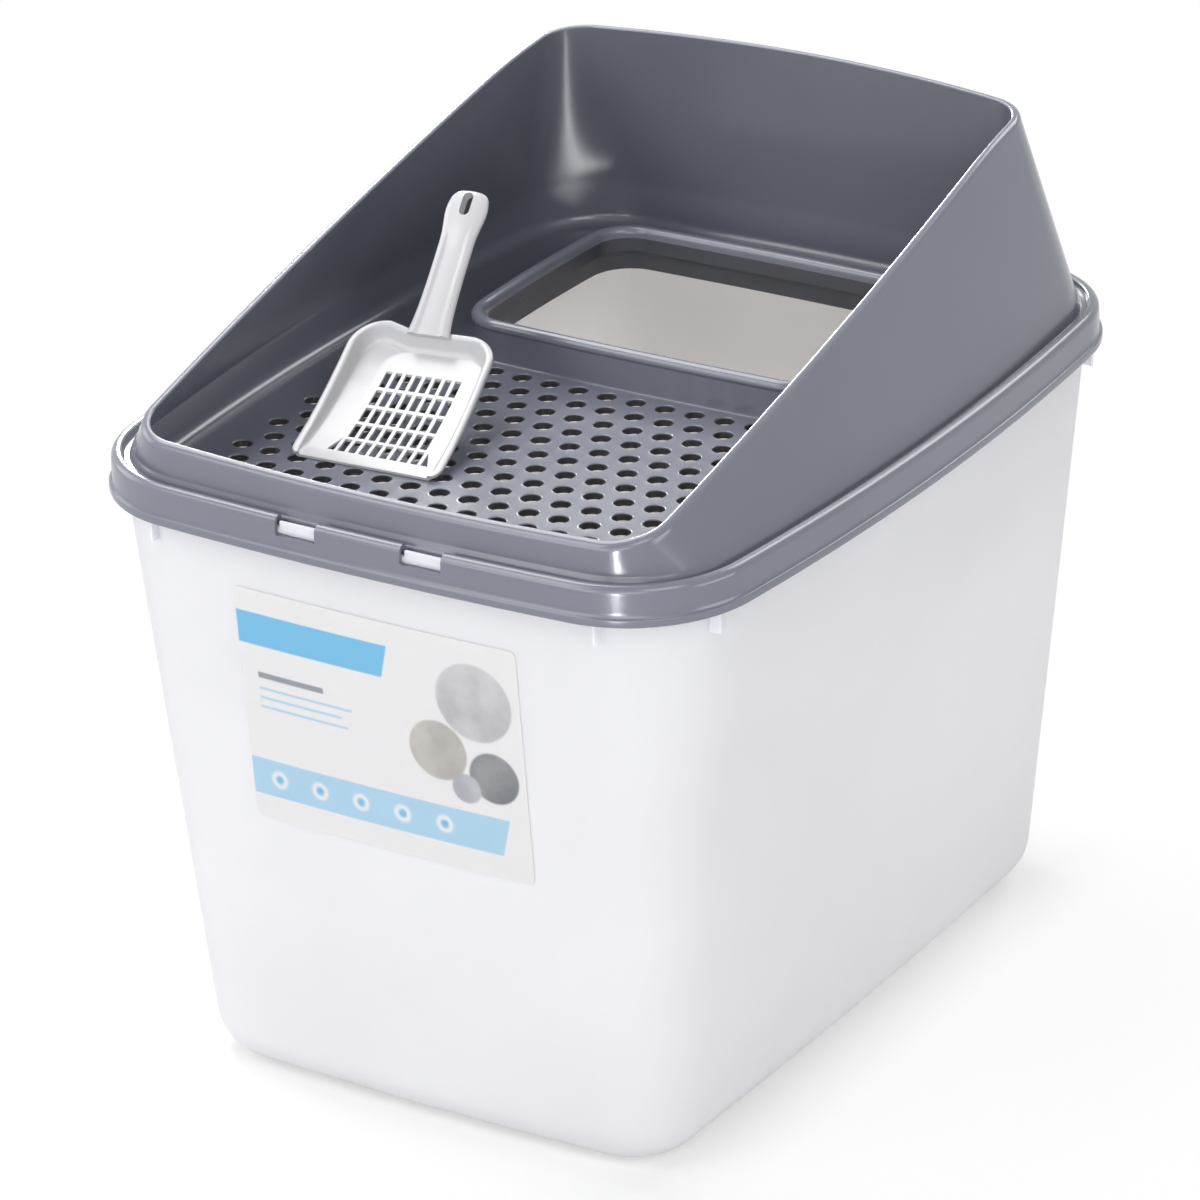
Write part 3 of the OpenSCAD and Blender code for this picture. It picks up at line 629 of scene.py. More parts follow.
def make_label():
    """Thin printed film that follows the bow of the front wall."""
    bm = bmesh.new()
    uv = bm.loops.layers.uv.new("print")
    columns, places = LABEL_COLUMNS, label_rows()
    rows = len(places) - 1
    layers, print_place = [], {}
    for out in (REST_GAP, REST_GAP + LABEL_THICKNESS):
        grid = []
        for z, inset in places:
            line = []
            for i in range(columns + 1):
                x = (LABEL_WIDTH - 2 * inset) * (i / columns - 0.5)
                v = bm.verts.new((x, -front_y(x, LABEL_Z + z) - out, LABEL_Z + z))
                print_place[v] = (x / LABEL_WIDTH + 0.5, z / LABEL_HEIGHT)
                line.append(v)
            grid.append(line)
        layers.append(grid)
        for j in range(rows):
            for i in range(columns):
                bm.faces.new((grid[j][i], grid[j][i + 1], grid[j + 1][i + 1], grid[j + 1][i]))
    back, front = layers
    ring = [(0, i) for i in range(columns)] + [(j, columns) for j in range(rows)]
    ring += [(rows, i) for i in range(columns, 0, -1)] + [(j, 0) for j in range(rows, 0, -1)]
    for k, (j, i) in enumerate(ring):
        jn, im = ring[(k + 1) % len(ring)]
        bm.faces.new((back[j][i], back[jn][im], front[jn][im], front[j][i]))
    for face in bm.faces:
        for corner in face.loops:
            corner[uv].uv = print_place[corner.vert]
    return finish_mesh("front_label_film", bm)


# ---- Scoop --------------------------------------------------------------------------

# The floor of the pan is a grid of rows (from the lip back) and columns: rows of the lip,
# then pairs of rows for a slot and a bar, then rows round the back corners
SLOT_ROWS, SLOTS_ACROSS, SCOOP_CORNER_ROWS = 5, 10, 12
LIP_ROWS = (0.0, 0.5, 1.6, 3.4, 6.0, 9.0)
LIP_RADIUS = 9.0
FIRST_SLOT_ROW = len(LIP_ROWS)
LAST_SLOT_ROW, LAST_SLOT_COLUMN = FIRST_SLOT_ROW + 2 * SLOT_ROWS, 2 * SLOTS_ACROSS + 1
FLOOR_ROWS, FLOOR_COLUMNS = LAST_SLOT_ROW + SCOOP_CORNER_ROWS, LAST_SLOT_COLUMN + 1
FRONT_BORDER, LEFT_BORDER, RIGHT_BORDER, SLOT_BAR = 11.5, 12.0, 1.5, 2.4
LIP_HEIGHT, LIP_SLANT, LIP_CORNER = 1.6, 0.1, 0.4
WALL_OUT = 7.0
# Powers of the curves by which the floor and the side walls climb from the lip to the back
FLOOR_CURVE, WALL_CURVE = 1.5, 0.9
# How far the floor has risen at its left edge, at the back of the pan
BORDER_RISE = 3.5
# Side wall from the floor to the rolled rim, as steps of (out, share of its height)
WALL_PROFILE = (
    (0, 0), (0.7, 0.03), (1.2, 0.08), (1.7, 0.18), (2.2, 0.35), (2.6, 0.62), (2.9, 0.84),
    (3.2, 0.93), (3.8, 0.985), (4.8, 1.0), (5.8, 1.0), (6.7, 0.98), (7.3, 0.93), (7.6, 0.85),
)
# Step of that profile where the rim starts to roll over
ROLL_START = 8


def smooth_step(t):
    u = max(0.0, min(1.0, t))
    return u * u * (3 - 2 * u)


def corner_angle(i):
    return math.pi / 2 * max(0, i - LAST_SLOT_ROW) / SCOOP_CORNER_ROWS


def floor_y(i):
    step = (SCOOP_LENGTH - FRONT_BORDER - SCOOP_CORNER) / SLOT_ROWS
    if i < FIRST_SLOT_ROW:
        return LIP_ROWS[i]
    if i <= LAST_SLOT_ROW:
        k, odd = divmod(i - FIRST_SLOT_ROW, 2)
        return FRONT_BORDER + k * step + odd * (step - SLOT_BAR)
    return SCOOP_LENGTH - SCOOP_CORNER * (1 - math.sin(corner_angle(i)))


def floor_point(i, j):
    y = floor_y(i)
    half = mix(SCOOP_WIDTH / 2 - WALL_OUT, SCOOP_BACK_WIDTH / 2, y / SCOOP_LENGTH)
    half -= SCOOP_CORNER * (1 - math.cos(corner_angle(i)))
    step = (2 * half - LEFT_BORDER - RIGHT_BORDER) / SLOTS_ACROSS
    k, odd = divmod(j - 1, 2)
    x = -half + LEFT_BORDER + k * step + odd * (step - SLOT_BAR)
    if j == 0:
        x = -half
    if j == FLOOR_COLUMNS:
        x = half
    t = y / SCOOP_LENGTH
    rise = BORDER_RISE * t * smooth_step((LEFT_BORDER - half - x) / LEFT_BORDER)
    return np.array([x, y - LIP_SLANT * x * (1 - t), SCOOP_RISE * t ** FLOOR_CURVE + rise])


def is_slot(i, j):
    """Whether a cell of the grid is open; the first row has a cut slot more at either end."""
    if i < FIRST_SLOT_ROW or i >= LAST_SLOT_ROW or (i - FIRST_SLOT_ROW) % 2 or j % 2 == 0:
        return False
    return j < LAST_SLOT_COLUMN if i == FIRST_SLOT_ROW else 1 < j < LAST_SLOT_COLUMN - 2


def scoop_stations():
    """Places round the edge of the floor, as row, column and the angle at which the wall faces."""
    stations = [(i, 0, math.pi - corner_angle(i)) for i in range(FLOOR_ROWS + 1)]
    stations += [(FLOOR_ROWS, j, math.pi / 2) for j in range(1, FLOOR_COLUMNS)]
    stations += [(i, FLOOR_COLUMNS, corner_angle(i)) for i in range(FLOOR_ROWS, -1, -1)]
    return stations


def wall_point(station, level):
    i, j, a = station
    out, share = WALL_PROFILE[level]
    height = mix(LIP_HEIGHT, SCOOP_BACK_HEIGHT, (floor_y(i) / SCOOP_LENGTH) ** WALL_CURVE)
    short = max(0.0, 1 - floor_y(i) / LIP_RADIUS)
    out *= mix(LIP_CORNER, 1, math.sqrt(1 - short * short))
    return floor_point(i, j) + np.array([out * math.cos(a), out * math.sin(a), share * height])


def slot_cell(i, j):
    """Corners of a slot in the grid; the two end slots of the first row are cut to triangles."""
    cell = [(i, j), (i, j + 1), (i + 1, j + 1), (i + 1, j)]
    if i == FIRST_SLOT_ROW and j == 1:
        cell.remove((i + 1, j))
    if i == FIRST_SLOT_ROW and j == LAST_SLOT_COLUMN - 2:
        cell.remove((i + 1, j + 1))
    return cell


def add_floor_faces(bm, grid):
    for i in range(FLOOR_ROWS):
        for j in range(FLOOR_COLUMNS):
            a, b, c, d = grid[i][j], grid[i + 1][j], grid[i + 1][j + 1], grid[i][j + 1]
            if not is_slot(i, j):
                bm.faces.new((a, b, c, d))
            elif i == FIRST_SLOT_ROW and j == 1:
                bm.faces.new((a, b, c))
            elif i == FIRST_SLOT_ROW and j == LAST_SLOT_COLUMN - 2:
                bm.faces.new((b, c, d))


def add_pan_layer(bm, stations, under):
    """Adds the upper or the under face of the pan; gives its grid of floor vertices and its walls."""
    down = np.array([0, 0, -SCOOP_WALL if under else 0])
    grid = [[bm.verts.new(floor_point(i, j) + down) for j in range(FLOOR_COLUMNS + 1)]
            for i in range(FLOOR_ROWS + 1)]
    walls = [[grid[i][j] for i, j, _ in stations]]
    for level in range(1, len(WALL_PROFILE)):
        side = SCOOP_WALL if under and level < ROLL_START else 0
        line = []
        for s in stations:
            shift = np.array([side * math.cos(s[2]), side * math.sin(s[2]), 0]) + down
            line.append(bm.verts.new(wall_point(s, level) + shift))
        walls.append(line)
    add_floor_faces(bm, grid)
    for inner, outer in zip(walls, walls[1:]):
        for k in range(len(stations) - 1):
            bm.faces.new((inner[k], outer[k], outer[k + 1], inner[k + 1]))
    return grid, walls


def add_slot_walls(bm, top, low):
    for i in range(FLOOR_ROWS):
        for j in range(FLOOR_COLUMNS):
            cell = slot_cell(i, j) if is_slot(i, j) else []
            for k, (p, q) in enumerate(cell):
                pn, qn = cell[(k + 1) % len(cell)]
                bm.faces.new((top[p][q], top[pn][qn], low[pn][qn], low[p][q]))


def make_scoop_pan():
    bm = bmesh.new()
    stations = scoop_stations()
    top, top_walls = add_pan_layer(bm, stations, False)
    low, low_walls = add_pan_layer(bm, stations, True)
    add_slot_walls(bm, top, low)
    last = len(stations) - 1
    edge = [(w[0], v[0]) for w, v in zip(reversed(top_walls), reversed(low_walls))]
    edge += [(top[0][j], low[0][j]) for j in range(1, FLOOR_COLUMNS + 1)]
    edge += [(w[last], v[last]) for w, v in zip(top_walls[1:], low_walls[1:])]
    edge += [(top_walls[-1][k], low_walls[-1][k]) for k in range(last - 1, -1, -1)]
    for (a, b), (c, d) in zip(edge, edge[1:]):
        bm.faces.new((a, c, d, b))
    return finish_mesh("scoop_pan", bm, angle=38, bevel=0.35)


def handle_section(t, grow, n=72):
    """Cross-section of the handle at a share t of its length, with a channel along its top."""
    swell = TIP_SWELL * math.exp(-((t - TIP_PLACE) / TIP_SPREAD) ** 2)
    half = HANDLE_WIDTH / 2 * (1 + HANDLE_FLARE * (1 - t) ** 6 + swell) * grow
    channel = CHANNEL_SINK * smooth_step((CHANNEL_END - t) / CHANNEL_FADE)
    points = []
    for k in range(n):
        a = -2 * math.pi * k / n
        c, s = math.cos(a), math.sin(a)
        sink = channel * smooth_step((CHANNEL_HALF - abs(c)) / CHANNEL_FADE) if s > 0 else 0
        points.append((half * c, t * HANDLE_LENGTH, HANDLE_THICKNESS / 2 * grow * s - sink))
    return points


def slot_cutter():
    """Rounded bar that opens the hanging slot near the end of the handle."""
    r, middle = HANG_SLOT_RADIUS, HANDLE_LENGTH * HANG_SLOT_PLACE
    outline = []
    for start, y in ((0, middle + HANG_SLOT_HALF), (math.pi, middle - HANG_SLOT_HALF)):
        for k in range(17):
            a = start + math.pi * k / 16
            outline.append((r * math.cos(a), y + r * math.sin(a)))
    bm = bmesh.new()
    deep = 2 * HANDLE_THICKNESS
    add_loft(bm, [[(x, y, z) for x, y in outline] for z in (-deep, deep)])
    return finish_mesh("slot_cutter", bm)


def make_scoop_handle():
    """The handle is built along Y, then tilted up at the back of the pan."""
    shares = [(t, 1) for t in np.linspace(0, 0.9, 25)]
    shares += [(0.95, 0.97), (0.972, 0.89), (0.985, 0.78), (0.993, 0.62), (0.997, 0.45), (1.0, 0.2)]
    bm = bmesh.new()
    add_loft(bm, [handle_section(t, grow) for t, grow in shares])
    handle = finish_mesh("scoop_handle", bm)
    cut(handle, slot_cutter())
    tip = Matrix.Translation(Vector((0, -3, -1)) * MM)
    tilt = Matrix.Rotation(math.radians(HANDLE_ANGLE), 4, "X")
    root = Vector((0, SCOOP_LENGTH + 3, SCOOP_RISE + SCOOP_BACK_HEIGHT + 1.5)) * MM
    handle.data.transform(Matrix.Translation(root) @ tilt @ tip)
    return handle


def lay_scoop(pieces):
    """Moves the pieces of the scoop from their own frame to their place on the platform."""
    place = Vector((-SCOOP_X, -SCOOP_Y, PLATFORM_Z + REST_GAP + SCOOP_WALL)) * MM
    move = Matrix.Translation(place) @ Matrix.Rotation(math.radians(SCOOP_TURN), 4, "Z")
    for piece in pieces:
        piece.data.transform(move)


# ---- Materials ------------------------------------------------------------------------

def new_material(name):
    material = bpy.data.materials.new(name)
    material.use_nodes = True
    tree = material.node_tree
    tree.nodes.clear()
    out = tree.nodes.new("ShaderNodeOutputMaterial")
    return material, tree, out


def link(tree, a, b):
    tree.links.new(a, b)


def noise(tree, coords, scale, detail=3.0, rough=0.5):
    node = tree.nodes.new("ShaderNodeTexNoise")
    node.inputs["Scale"].default_value = scale
    node.inputs["Detail"].default_value = detail
    node.inputs["Roughness"].default_value = rough
    link(tree, coords, node.inputs["Vector"])
    return node.outputs["Fac"]


def ramp(tree, value, low, high, out_low, out_high):
    node = tree.nodes.new("ShaderNodeMapRange")
    for name, number in (("From Min", low), ("From Max", high), ("To Min", out_low), ("To Max", out_high)):
        node.inputs[name].default_value = number
    link(tree, value, node.inputs["Value"])
    return node.outputs["Result"]


def mix_colour(tree, factor, a, b):
    node = tree.nodes.new("ShaderNodeMix")
    node.data_type = "RGBA"
    link(tree, factor, node.inputs["Factor"])
    for slot, value in ((6, a), (7, b)):
        if isinstance(value, tuple):
            node.inputs[slot].default_value = (*value, 1)
        else:
            link(tree, value, node.inputs[slot])
    return node.outputs[2]


def math_node(tree, operation, a, b):
    """A Math node on two values, each a socket or a number."""
    node = tree.nodes.new("ShaderNodeMath")
    node.operation = operation
    for k, value in enumerate((a, b)):
        if isinstance(value, (int, float)):
            node.inputs[k].default_value = value
        else:
            link(tree, value, node.inputs[k])
    return node.outputs[0]


def vector_node(tree, operation, a, b=None):
    """A Vector Math node on a socket and, where it takes one, a constant vector."""
    node = tree.nodes.new("ShaderNodeVectorMath")
    node.operation = operation
    link(tree, a, node.inputs[0])
    if b is not None:
        node.inputs[1].default_value = b
    return node.outputs["Value" if operation == "LENGTH" else 0]


def add_bump(tree, shader, height, strength, distance):
    bump = tree.nodes.new("ShaderNodeBump")
    bump.inputs["Strength"].default_value = strength
    bump.inputs["Distance"].default_value = distance
    link(tree, height, bump.inputs["Height"])
    link(tree, bump.outputs["Normal"], shader.inputs["Normal"])


GRAIN_SCALE = 900.0


def plastic(name, colour, worn, roughness, grain=0.05):
    """Moulded plastic: faint cloudy tone, gloss that varies, a fine grain and light scuffs."""
    material, tree, out = new_material(name)
    coords = tree.nodes.new("ShaderNodeTexCoord").outputs["Object"]
    cloud = noise(tree, coords, 7.0, 2.0)
    scuff = ramp(tree, noise(tree, coords, 55.0, 6.0, 0.7), 0.6, 0.78, 0.0, 1.0)
    tone = ramp(tree, cloud, 0.3, 0.7, 0.0, 1.0)
    base = mix_colour(tree, tone, tuple(c * 0.97 for c in colour), tuple(min(c * 1.03, 1) for c in colour))
    shader = tree.nodes.new("ShaderNodeBsdfPrincipled")
    wear = ramp(tree, scuff, 0.0, 1.0, 0.0, 0.05)
    link(tree, mix_colour(tree, wear, base, worn), shader.inputs["Base Color"])
    gloss = ramp(tree, cloud, 0.3, 0.7, roughness - 0.015, roughness + 0.02)
    dull = ramp(tree, scuff, 0.0, 1.0, 0.0, 0.03)
    link(tree, math_node(tree, "ADD", gloss, dull), shader.inputs["Roughness"])
    add_bump(tree, shader, noise(tree, coords, GRAIN_SCALE, 2.0), grain, 0.0003)
    link(tree, shader.outputs[0], out.inputs["Surface"])
    return material


def add_translucence(material, colour, share):
    """Mixes in a share of light that passes through a thin wall."""
    tree = material.node_tree
    out = next(n for n in tree.nodes if n.type == "OUTPUT_MATERIAL")
    body = out.inputs["Surface"].links[0].from_socket
    through = tree.nodes.new("ShaderNodeBsdfTranslucent")
    through.inputs["Color"].default_value = (*colour, 1)
    blend = tree.nodes.new("ShaderNodeMixShader")
    blend.inputs["Fac"].default_value = share
    link(tree, body, blend.inputs[1])
    link(tree, through.outputs[0], blend.inputs[2])
    link(tree, blend.outputs[0], out.inputs["Surface"])


def box_mask(tree, u, v, u0, u1, v0, v1, slant, soft=0.003):
    """1 inside a rectangle of the label whose right side leans by slant, else 0."""
    lean = math_node(tree, "MULTIPLY", math_node(tree, "SUBTRACT", v, v0), slant)
    right = math_node(tree, "SUBTRACT", u, lean)
    value = ramp(tree, u, u0 - soft, u0 + soft, 0.0, 1.0)
    for place, edge, inside, outside in ((right, u1, 1.0, 0.0), (v, v0, 0.0, 1.0), (v, v1, 1.0, 0.0)):
        side = ramp(tree, place, edge - soft, edge + soft, inside, outside)
        value = math_node(tree, "MULTIPLY", value, side)
    return value


def disc_mask(tree, u, v, cu, cv, radius, soft=0.006):
    """1 inside a disc of the label, whose radius is a share of the label's width, else 0."""
    place = tree.nodes.new("ShaderNodeCombineXYZ")
    link(tree, u, place.inputs[0])
    link(tree, v, place.inputs[1])
    offset = vector_node(tree, "SUBTRACT", place.outputs[0], (cu, cv, 0))
    square = vector_node(tree, "MULTIPLY", offset, (1, LABEL_HEIGHT / LABEL_WIDTH, 0))
    return ramp(tree, vector_node(tree, "LENGTH", square), radius - soft, radius + soft, 1.0, 0.0)


# Colours of the print. Places and sizes on it are shares of the label's width and height
PAPER = (0.8, 0.79, 0.8)
BAND_BLUE = (0.17, 0.5, 0.76)
BAND_PALE = (0.4, 0.62, 0.79)
MARK_GREY = (0.3, 0.32, 0.36)
# Round stones at the right of the print: centre, radius, and the two tones of each
PEBBLES = (
    (0.84, 0.74, 0.13, (0.6, 0.6, 0.61), (0.46, 0.46, 0.48)),
    (0.7, 0.5, 0.1, (0.56, 0.53, 0.5), (0.42, 0.4, 0.38)),
    (0.89, 0.43, 0.085, (0.3, 0.31, 0.33), (0.17, 0.18, 0.2)),
    (0.79, 0.36, 0.05, (0.52, 0.52, 0.56), (0.4, 0.4, 0.45)),
)
# Bands and lines of the print: left, right, bottom, top, lean of the right side, and colour
BANDS = (
    (0.0, 0.52, 0.76, 0.9, 0.2, BAND_BLUE),
    (0.0, 0.9, 0.1, 0.26, 0.2, BAND_PALE),
    (0.06, 0.3, 0.62, 0.645, 0.0, MARK_GREY),
    (0.06, 0.4, 0.57, 0.58, 0.0, BAND_PALE),
    (0.06, 0.36, 0.53, 0.54, 0.0, BAND_PALE),
    (0.06, 0.38, 0.49, 0.5, 0.0, BAND_PALE),
)
# Round marks on the pale band: how many, the first one's centre, their pitch and their two radii
MARKS, MARK_LEFT, MARK_HEIGHT, MARK_PITCH, MARK_OUTER, MARK_INNER = 5, 0.1, 0.18, 0.15, 0.03, 0.014


def label_material():
    """Generic print on off-white film: two bands, plain lines, round marks and round stones."""
    material, tree, out = new_material("label_print")
    uv = tree.nodes.new("ShaderNodeUVMap")
    uv.uv_map = "print"
    split = tree.nodes.new("ShaderNodeSeparateXYZ")
    link(tree, uv.outputs["UV"], split.inputs[0])
    u, v = split.outputs["X"], split.outputs["Y"]
    coords = tree.nodes.new("ShaderNodeTexCoord").outputs["Object"]
    fibre = noise(tree, coords, 260.0, 4.0)
    colour = mix_colour(tree, ramp(tree, fibre, 0.3, 0.7, 0.0, 1.0), tuple(c * 0.985 for c in PAPER), PAPER)
    mottle = ramp(tree, noise(tree, coords, 48.0, 5.0, 0.6), 0.35, 0.65, 0.0, 1.0)
    for cu, cv, radius, light, dark in PEBBLES:
        stone = mix_colour(tree, mottle, light, dark)
        colour = mix_colour(tree, disc_mask(tree, u, v, cu, cv, radius, 0.004), colour, stone)
    for u0, u1, v0, v1, slant, paint in BANDS:
        colour = mix_colour(tree, box_mask(tree, u, v, u0, u1, v0, v1, slant), colour, paint)
    for k in range(MARKS):
        for radius, paint in ((MARK_OUTER, PAPER), (MARK_INNER, BAND_BLUE)):
            mark = disc_mask(tree, u, v, MARK_LEFT + MARK_PITCH * k, MARK_HEIGHT, radius)
            colour = mix_colour(tree, mark, colour, paint)
    shader = tree.nodes.new("ShaderNodeBsdfPrincipled")
    link(tree, colour, shader.inputs["Base Color"])
    link(tree, ramp(tree, fibre, 0.3, 0.7, 0.38, 0.46), shader.inputs["Roughness"])
    add_bump(tree, shader, fibre, 0.04, 0.0002)
    link(tree, shader.outputs[0], out.inputs["Surface"])
    return material


# Painted light on the floor: how much of it is seen as plain white, which lifts the box's shadow more the
# farther
# from the foot: at the foot of the box, just beside it and far from it, with the two distances from the
# foot in metres
WHITE_AT_FOOT, WHITE_BESIDE, WHITE_FAR = 0.38, 0.84, 1.0
BESIDE, FAR = 0.045, 0.4


def backdrop_seen(tree):
    """1 for the rays that show the backdrop as it is: of the camera, a reflection or clear glass.

    Light that a wall scatters as it lets it through is left out, or it would light the tub.
    """
    path = tree.nodes.new("ShaderNodeLightPath").outputs
    clear = math_node(tree, "SUBTRACT", path["Is Transmission Ray"], path["Is Diffuse Ray"])
    shown = math_node(tree, "MAXIMUM", path["Is Camera Ray"], path["Is Glossy Ray"])
    return math_node(tree, "MAXIMUM", shown, clear)


def floor_material():
    """White paper floor that takes the shadow of the box and fades to the white of the backdrop."""
    material, tree, out = new_material("studio_floor")
    coords = tree.nodes.new("ShaderNodeTexCoord").outputs["Object"]
    tone = ramp(tree, noise(tree, coords, 3.0, 2.0), 0.3, 0.7, 0.0, 1.0)
    paper = tree.nodes.new("ShaderNodeBsdfDiffuse")
    link(tree, mix_colour(tree, tone, (0.88, 0.88, 0.88), (0.9, 0.9, 0.9)), paper.inputs["Color"])
    white = tree.nodes.new("ShaderNodeEmission")
    white.inputs["Color"].default_value = (1, 1, 1, 1)
    beyond = vector_node(tree, "SUBTRACT", vector_node(tree, "ABSOLUTE", coords),
                         (BASE_WIDTH / 2 * MM, BASE_LENGTH / 2 * MM, 0))
    away = vector_node(tree, "LENGTH", vector_node(tree, "MAXIMUM", beyond, (0, 0, 0)))
    # Painted light: the white share grows with the distance from the foot, so the box's shadow fades out
    # close to it
    near = ramp(tree, away, 0.0, BESIDE, WHITE_AT_FOOT, WHITE_BESIDE)
    far = ramp(tree, away, BESIDE, FAR, 0.0, WHITE_FAR - WHITE_BESIDE)
    seen = math_node(tree, "MULTIPLY", backdrop_seen(tree), math_node(tree, "ADD", near, far))
    both = tree.nodes.new("ShaderNodeMixShader")
    link(tree, seen, both.inputs["Fac"])
    link(tree, paper.outputs[0], both.inputs[1])
    link(tree, white.outputs[0], both.inputs[2])
    link(tree, both.outputs[0], out.inputs["Surface"])
    return material


# ---- Studio ----------------------------------------------------------------------------

FLOOR_REACH = 9000
AMBIENT = 0.02


def make_floor():
    bm = bmesh.new()
    corners = [(sx * FLOOR_REACH, sy * FLOOR_REACH, 0) for sx, sy in ((-1, -1), (1, -1), (1, 1), (-1, 1))]
    bm.faces.new([bm.verts.new(p) for p in corners])
    floor = finish_mesh("studio_floor", bm)
    floor.data.materials.append(floor_material())


def make_world():
    """Faint even light, and plain white for the rays that show the backdrop."""
    world = bpy.data.worlds.new("studio")
    bpy.context.scene.world = world
    world.use_nodes = True
    tree = world.node_tree
    tree.nodes.clear()
    out = tree.nodes.new("ShaderNodeOutputWorld")
    ambient = tree.nodes.new("ShaderNodeBackground")
    ambient.inputs["Color"].default_value = (0.93, 0.96, 1.0, 1)
    ambient.inputs["Strength"].default_value = AMBIENT
    white = tree.nodes.new("ShaderNodeBackground")
    white.inputs["Color"].default_value = (1, 1, 1, 1)
    blend = tree.nodes.new("ShaderNodeMixShader")
    link(tree, backdrop_seen(tree), blend.inputs["Fac"])
    link(tree, ambient.outputs[0], blend.inputs[1])
    link(tree, white.outputs[0], blend.inputs[2])
    link(tree, blend.outputs[0], out.inputs["Surface"])


def area_light(name, place, aim, size, power):
    data = bpy.data.lights.new(name, "AREA")
    data.shape = "RECTANGLE"
    data.size, data.size_y = size
    data.energy = power
    light = bpy.data.objects.new(name, data)
    light.location = place
    light.rotation_euler = (Vector(aim) - Vector(place)).to_track_quat("-Z", "Y").to_euler()
    light.visible_camera = False
    bpy.context.scene.collection.objects.link(light)
    return light


# Soft lamps: name, place, size and power in watts. They all aim at the middle of the box
MIDDLE = (0, 0, 0.3)
SOFT_LAMPS = (
    ("key", (-1.4, -2.2, 2.7), (1.7, 1.7), 41),
    ("front_low", (-0.6, -3.0, 1.0), (1.8, 1.4), 28),
    ("front_fill", (1.4, -3.0, 1.1), (1.6, 1.2), 26),
    ("top", (-1.2, 0.3, 2.7), (1.4, 1.4), 40),
    ("rim", (-1.4, 1.4, 2.1), (1.2, 1.2), 17),
    ("right_low", (2.6, 0.2, 0.5), (1.6, 0.9), 19),
    ("right_high", (2.0, -1.4, 2.4), (1.4, 1.4), 28),
    ("left", (-2.6, -0.3, 1.2), (1.4, 1.4), 16),
    ("back_high", (0.4, 2.4, 2.4), (1.4, 1.4), 37),
)


# Narrow lamps that only show as gleams on the glossy lid: name, place, aim, size and power
GLEAM_SPREAD = math.radians(70)
GLEAMS = (
    ("front_gleam", (0.35, -0.91, 0.24), (0.15, -0.25, 0.39), (0.05, 0.24), 0.36),
    ("corner_gleam", (-0.115, 0.2, 0.403), (-0.165, 0.227, 0.485), (0.005, 0.12), 0.003),
    ("edge_gleam", (-1.45, 1.35, 1.2), (0.15, 0, 0.45), (0.5, 0.6), 6.0),
)


def make_lights():
    for name, place, size, power in SOFT_LAMPS:
        area_light(name, place, MIDDLE, size, power)
    for name, place, aim, size, power in GLEAMS:
        lamp = area_light(name, place, aim, size, power)
        lamp.visible_diffuse = False
        lamp.data.shape = "ELLIPSE"
        lamp.data.spread = GLEAM_SPREAD


# The camera: angles, distance, aim, and its lens in millimetres on a sensor 36 mm wide
AZIMUTH, ELEVATION, ROLL = math.radians(32.812), math.radians(24.7), math.radians(-1.872)
DISTANCE = 3.76383
TARGET = Vector((-0.013513, -0.004799, 0.23816))
LENS, SENSOR, SHIFT_X, CLIP_END = 188.83, 36, 0.0005, 60


def make_camera():
    data = bpy.data.cameras.new("camera")
    data.sensor_width = SENSOR
    data.lens = LENS
    data.shift_x = SHIFT_X
    data.clip_end = CLIP_END
    level = math.cos(ELEVATION)
    back = Vector((math.sin(AZIMUTH) * level, -math.cos(AZIMUTH) * level, math.sin(ELEVATION)))
    right = Vector((math.cos(AZIMUTH), math.sin(AZIMUTH), 0))
    up = back.cross(right)
    side = math.cos(ROLL) * right + math.sin(ROLL) * up
    over = -math.sin(ROLL) * right + math.cos(ROLL) * up
    matrix = Matrix((side, over, back)).transposed().to_4x4()
    matrix.translation = TARGET + back * DISTANCE
    camera = bpy.data.objects.new("camera", data)
    bpy.context.scene.collection.objects.link(camera)
    camera.matrix_world = matrix
    bpy.context.scene.camera = camera


# ---- The box ------------------------------------------------------------------------------

def dress(piece, material, body, node):
    """Paints a piece, sets it on its body and hides the CAD node whose place it takes."""
    piece.data.materials.append(material)
    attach(piece, body)
    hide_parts(node)


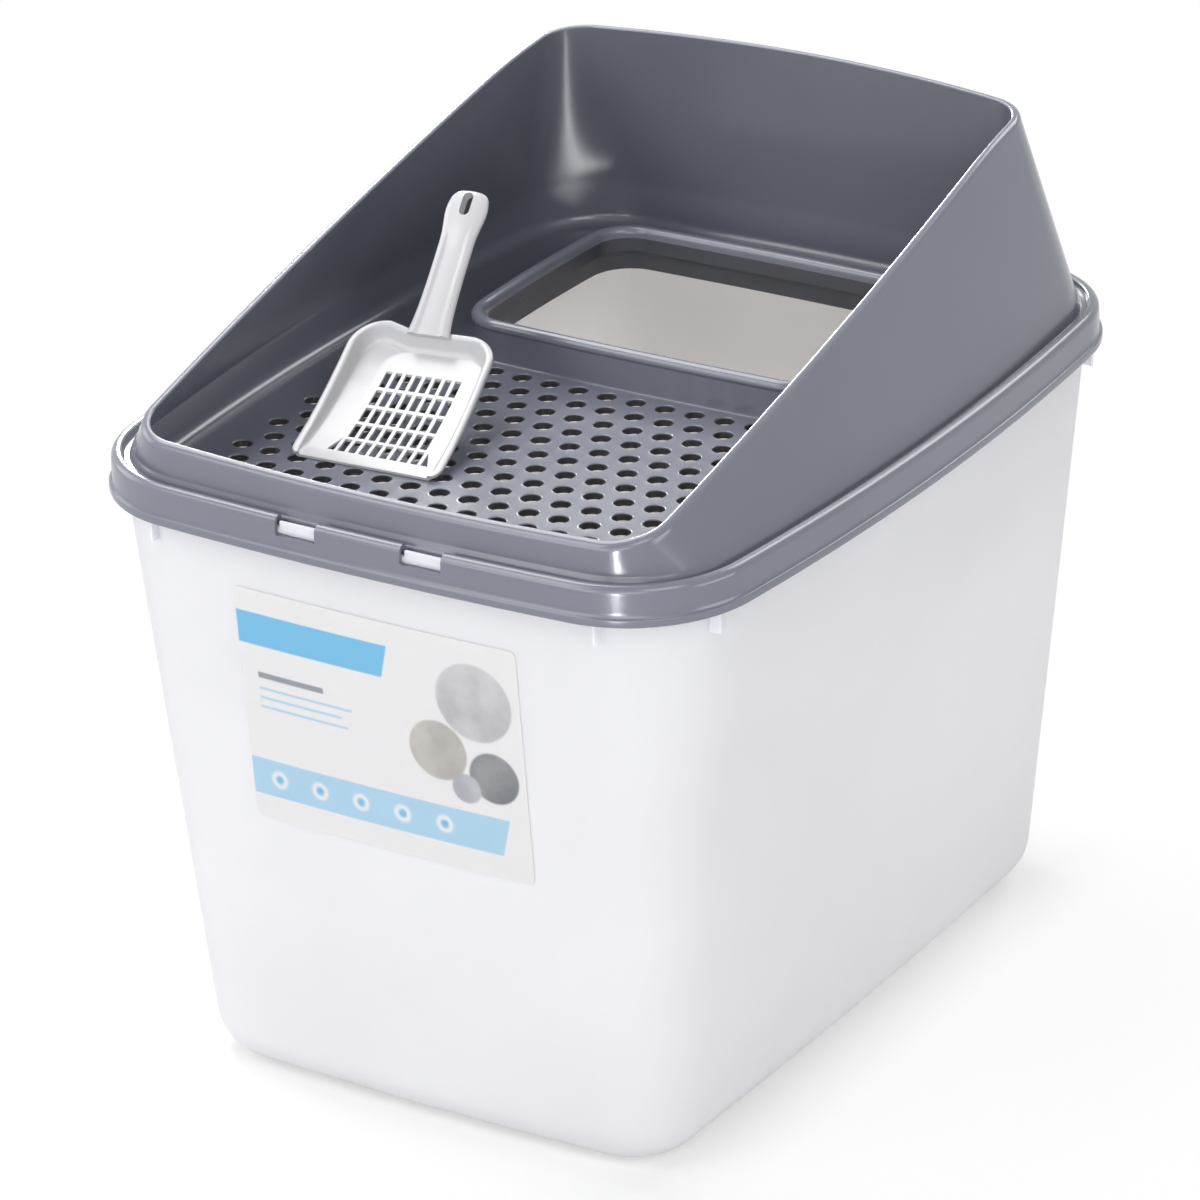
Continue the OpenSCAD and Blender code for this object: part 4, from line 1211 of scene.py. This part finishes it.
def build():
    tub_white = plastic("tub_plastic", (0.85, 0.865, 0.915), (0.78, 0.79, 0.83), 0.3)
    add_translucence(tub_white, (0.97, 0.965, 0.97), 0.38)
    # The inside is the same plastic with a beige tint that lets more light through: the tint is painted
    # warm light inside the tub
    tub_inside_painted_glow = plastic("tub_inside_painted_glow", (0.98, 0.95, 0.93), (0.92, 0.89, 0.86), 0.4)
    add_translucence(tub_inside_painted_glow, (1.0, 0.97, 0.94), 0.58)
    lid_grey = plastic("lid_plastic", (0.16, 0.169, 0.208), (0.23, 0.24, 0.28), 0.19)
    # Near-black copy of the lid plastic for the walls of the holes: painted shade inside the holes
    painted_shade_hole_grey = plastic("hole_wall_painted_shade", (0.022, 0.022, 0.025), (0.05, 0.05, 0.06), 0.5)
    # Darker copy of the lid plastic for the collar's lip: painted shade under the bead
    painted_shade_lip = plastic("lip_painted_shade", (0.06, 0.063, 0.075), (0.1, 0.1, 0.12), 0.22)
    scoop_white = plastic("scoop_plastic", (0.54, 0.54, 0.56), (0.49, 0.49, 0.51), 0.24, grain=0.02)
    shell = make_tub()
    for piece in (shell, make_gussets(), make_lugs()):
        dress(piece, tub_white, "tub_body", "tub")
    shell.data.materials.append(tub_inside_painted_glow)
    dress(make_rim_and_hood(), lid_grey, "lid_body", "lid_rim_hood")
    platform = make_platform()
    dress(platform, lid_grey, "lid_body", "lid_platform")
    platform.data.materials.append(painted_shade_hole_grey)
    collar = make_collar()
    dress(collar, lid_grey, "lid_body", "lid_entry_collar")
    collar.data.materials.append(painted_shade_lip)
    scoop = (make_scoop_pan(), make_scoop_handle())
    lay_scoop(scoop)
    for piece in scoop:
        dress(piece, scoop_white, "scoop_body", "scoop")
    print_film = label_material()
    # Film that lets light through casts no hard shadow on the inside of the tub
    add_translucence(print_film, (0.9, 0.9, 0.9), 0.3)
    dress(make_label(), print_film, "tub_body", "front_label")


build()
make_floor()
make_world()
make_lights()
make_camera()
bpy.context.scene.view_settings.view_transform = "Standard"
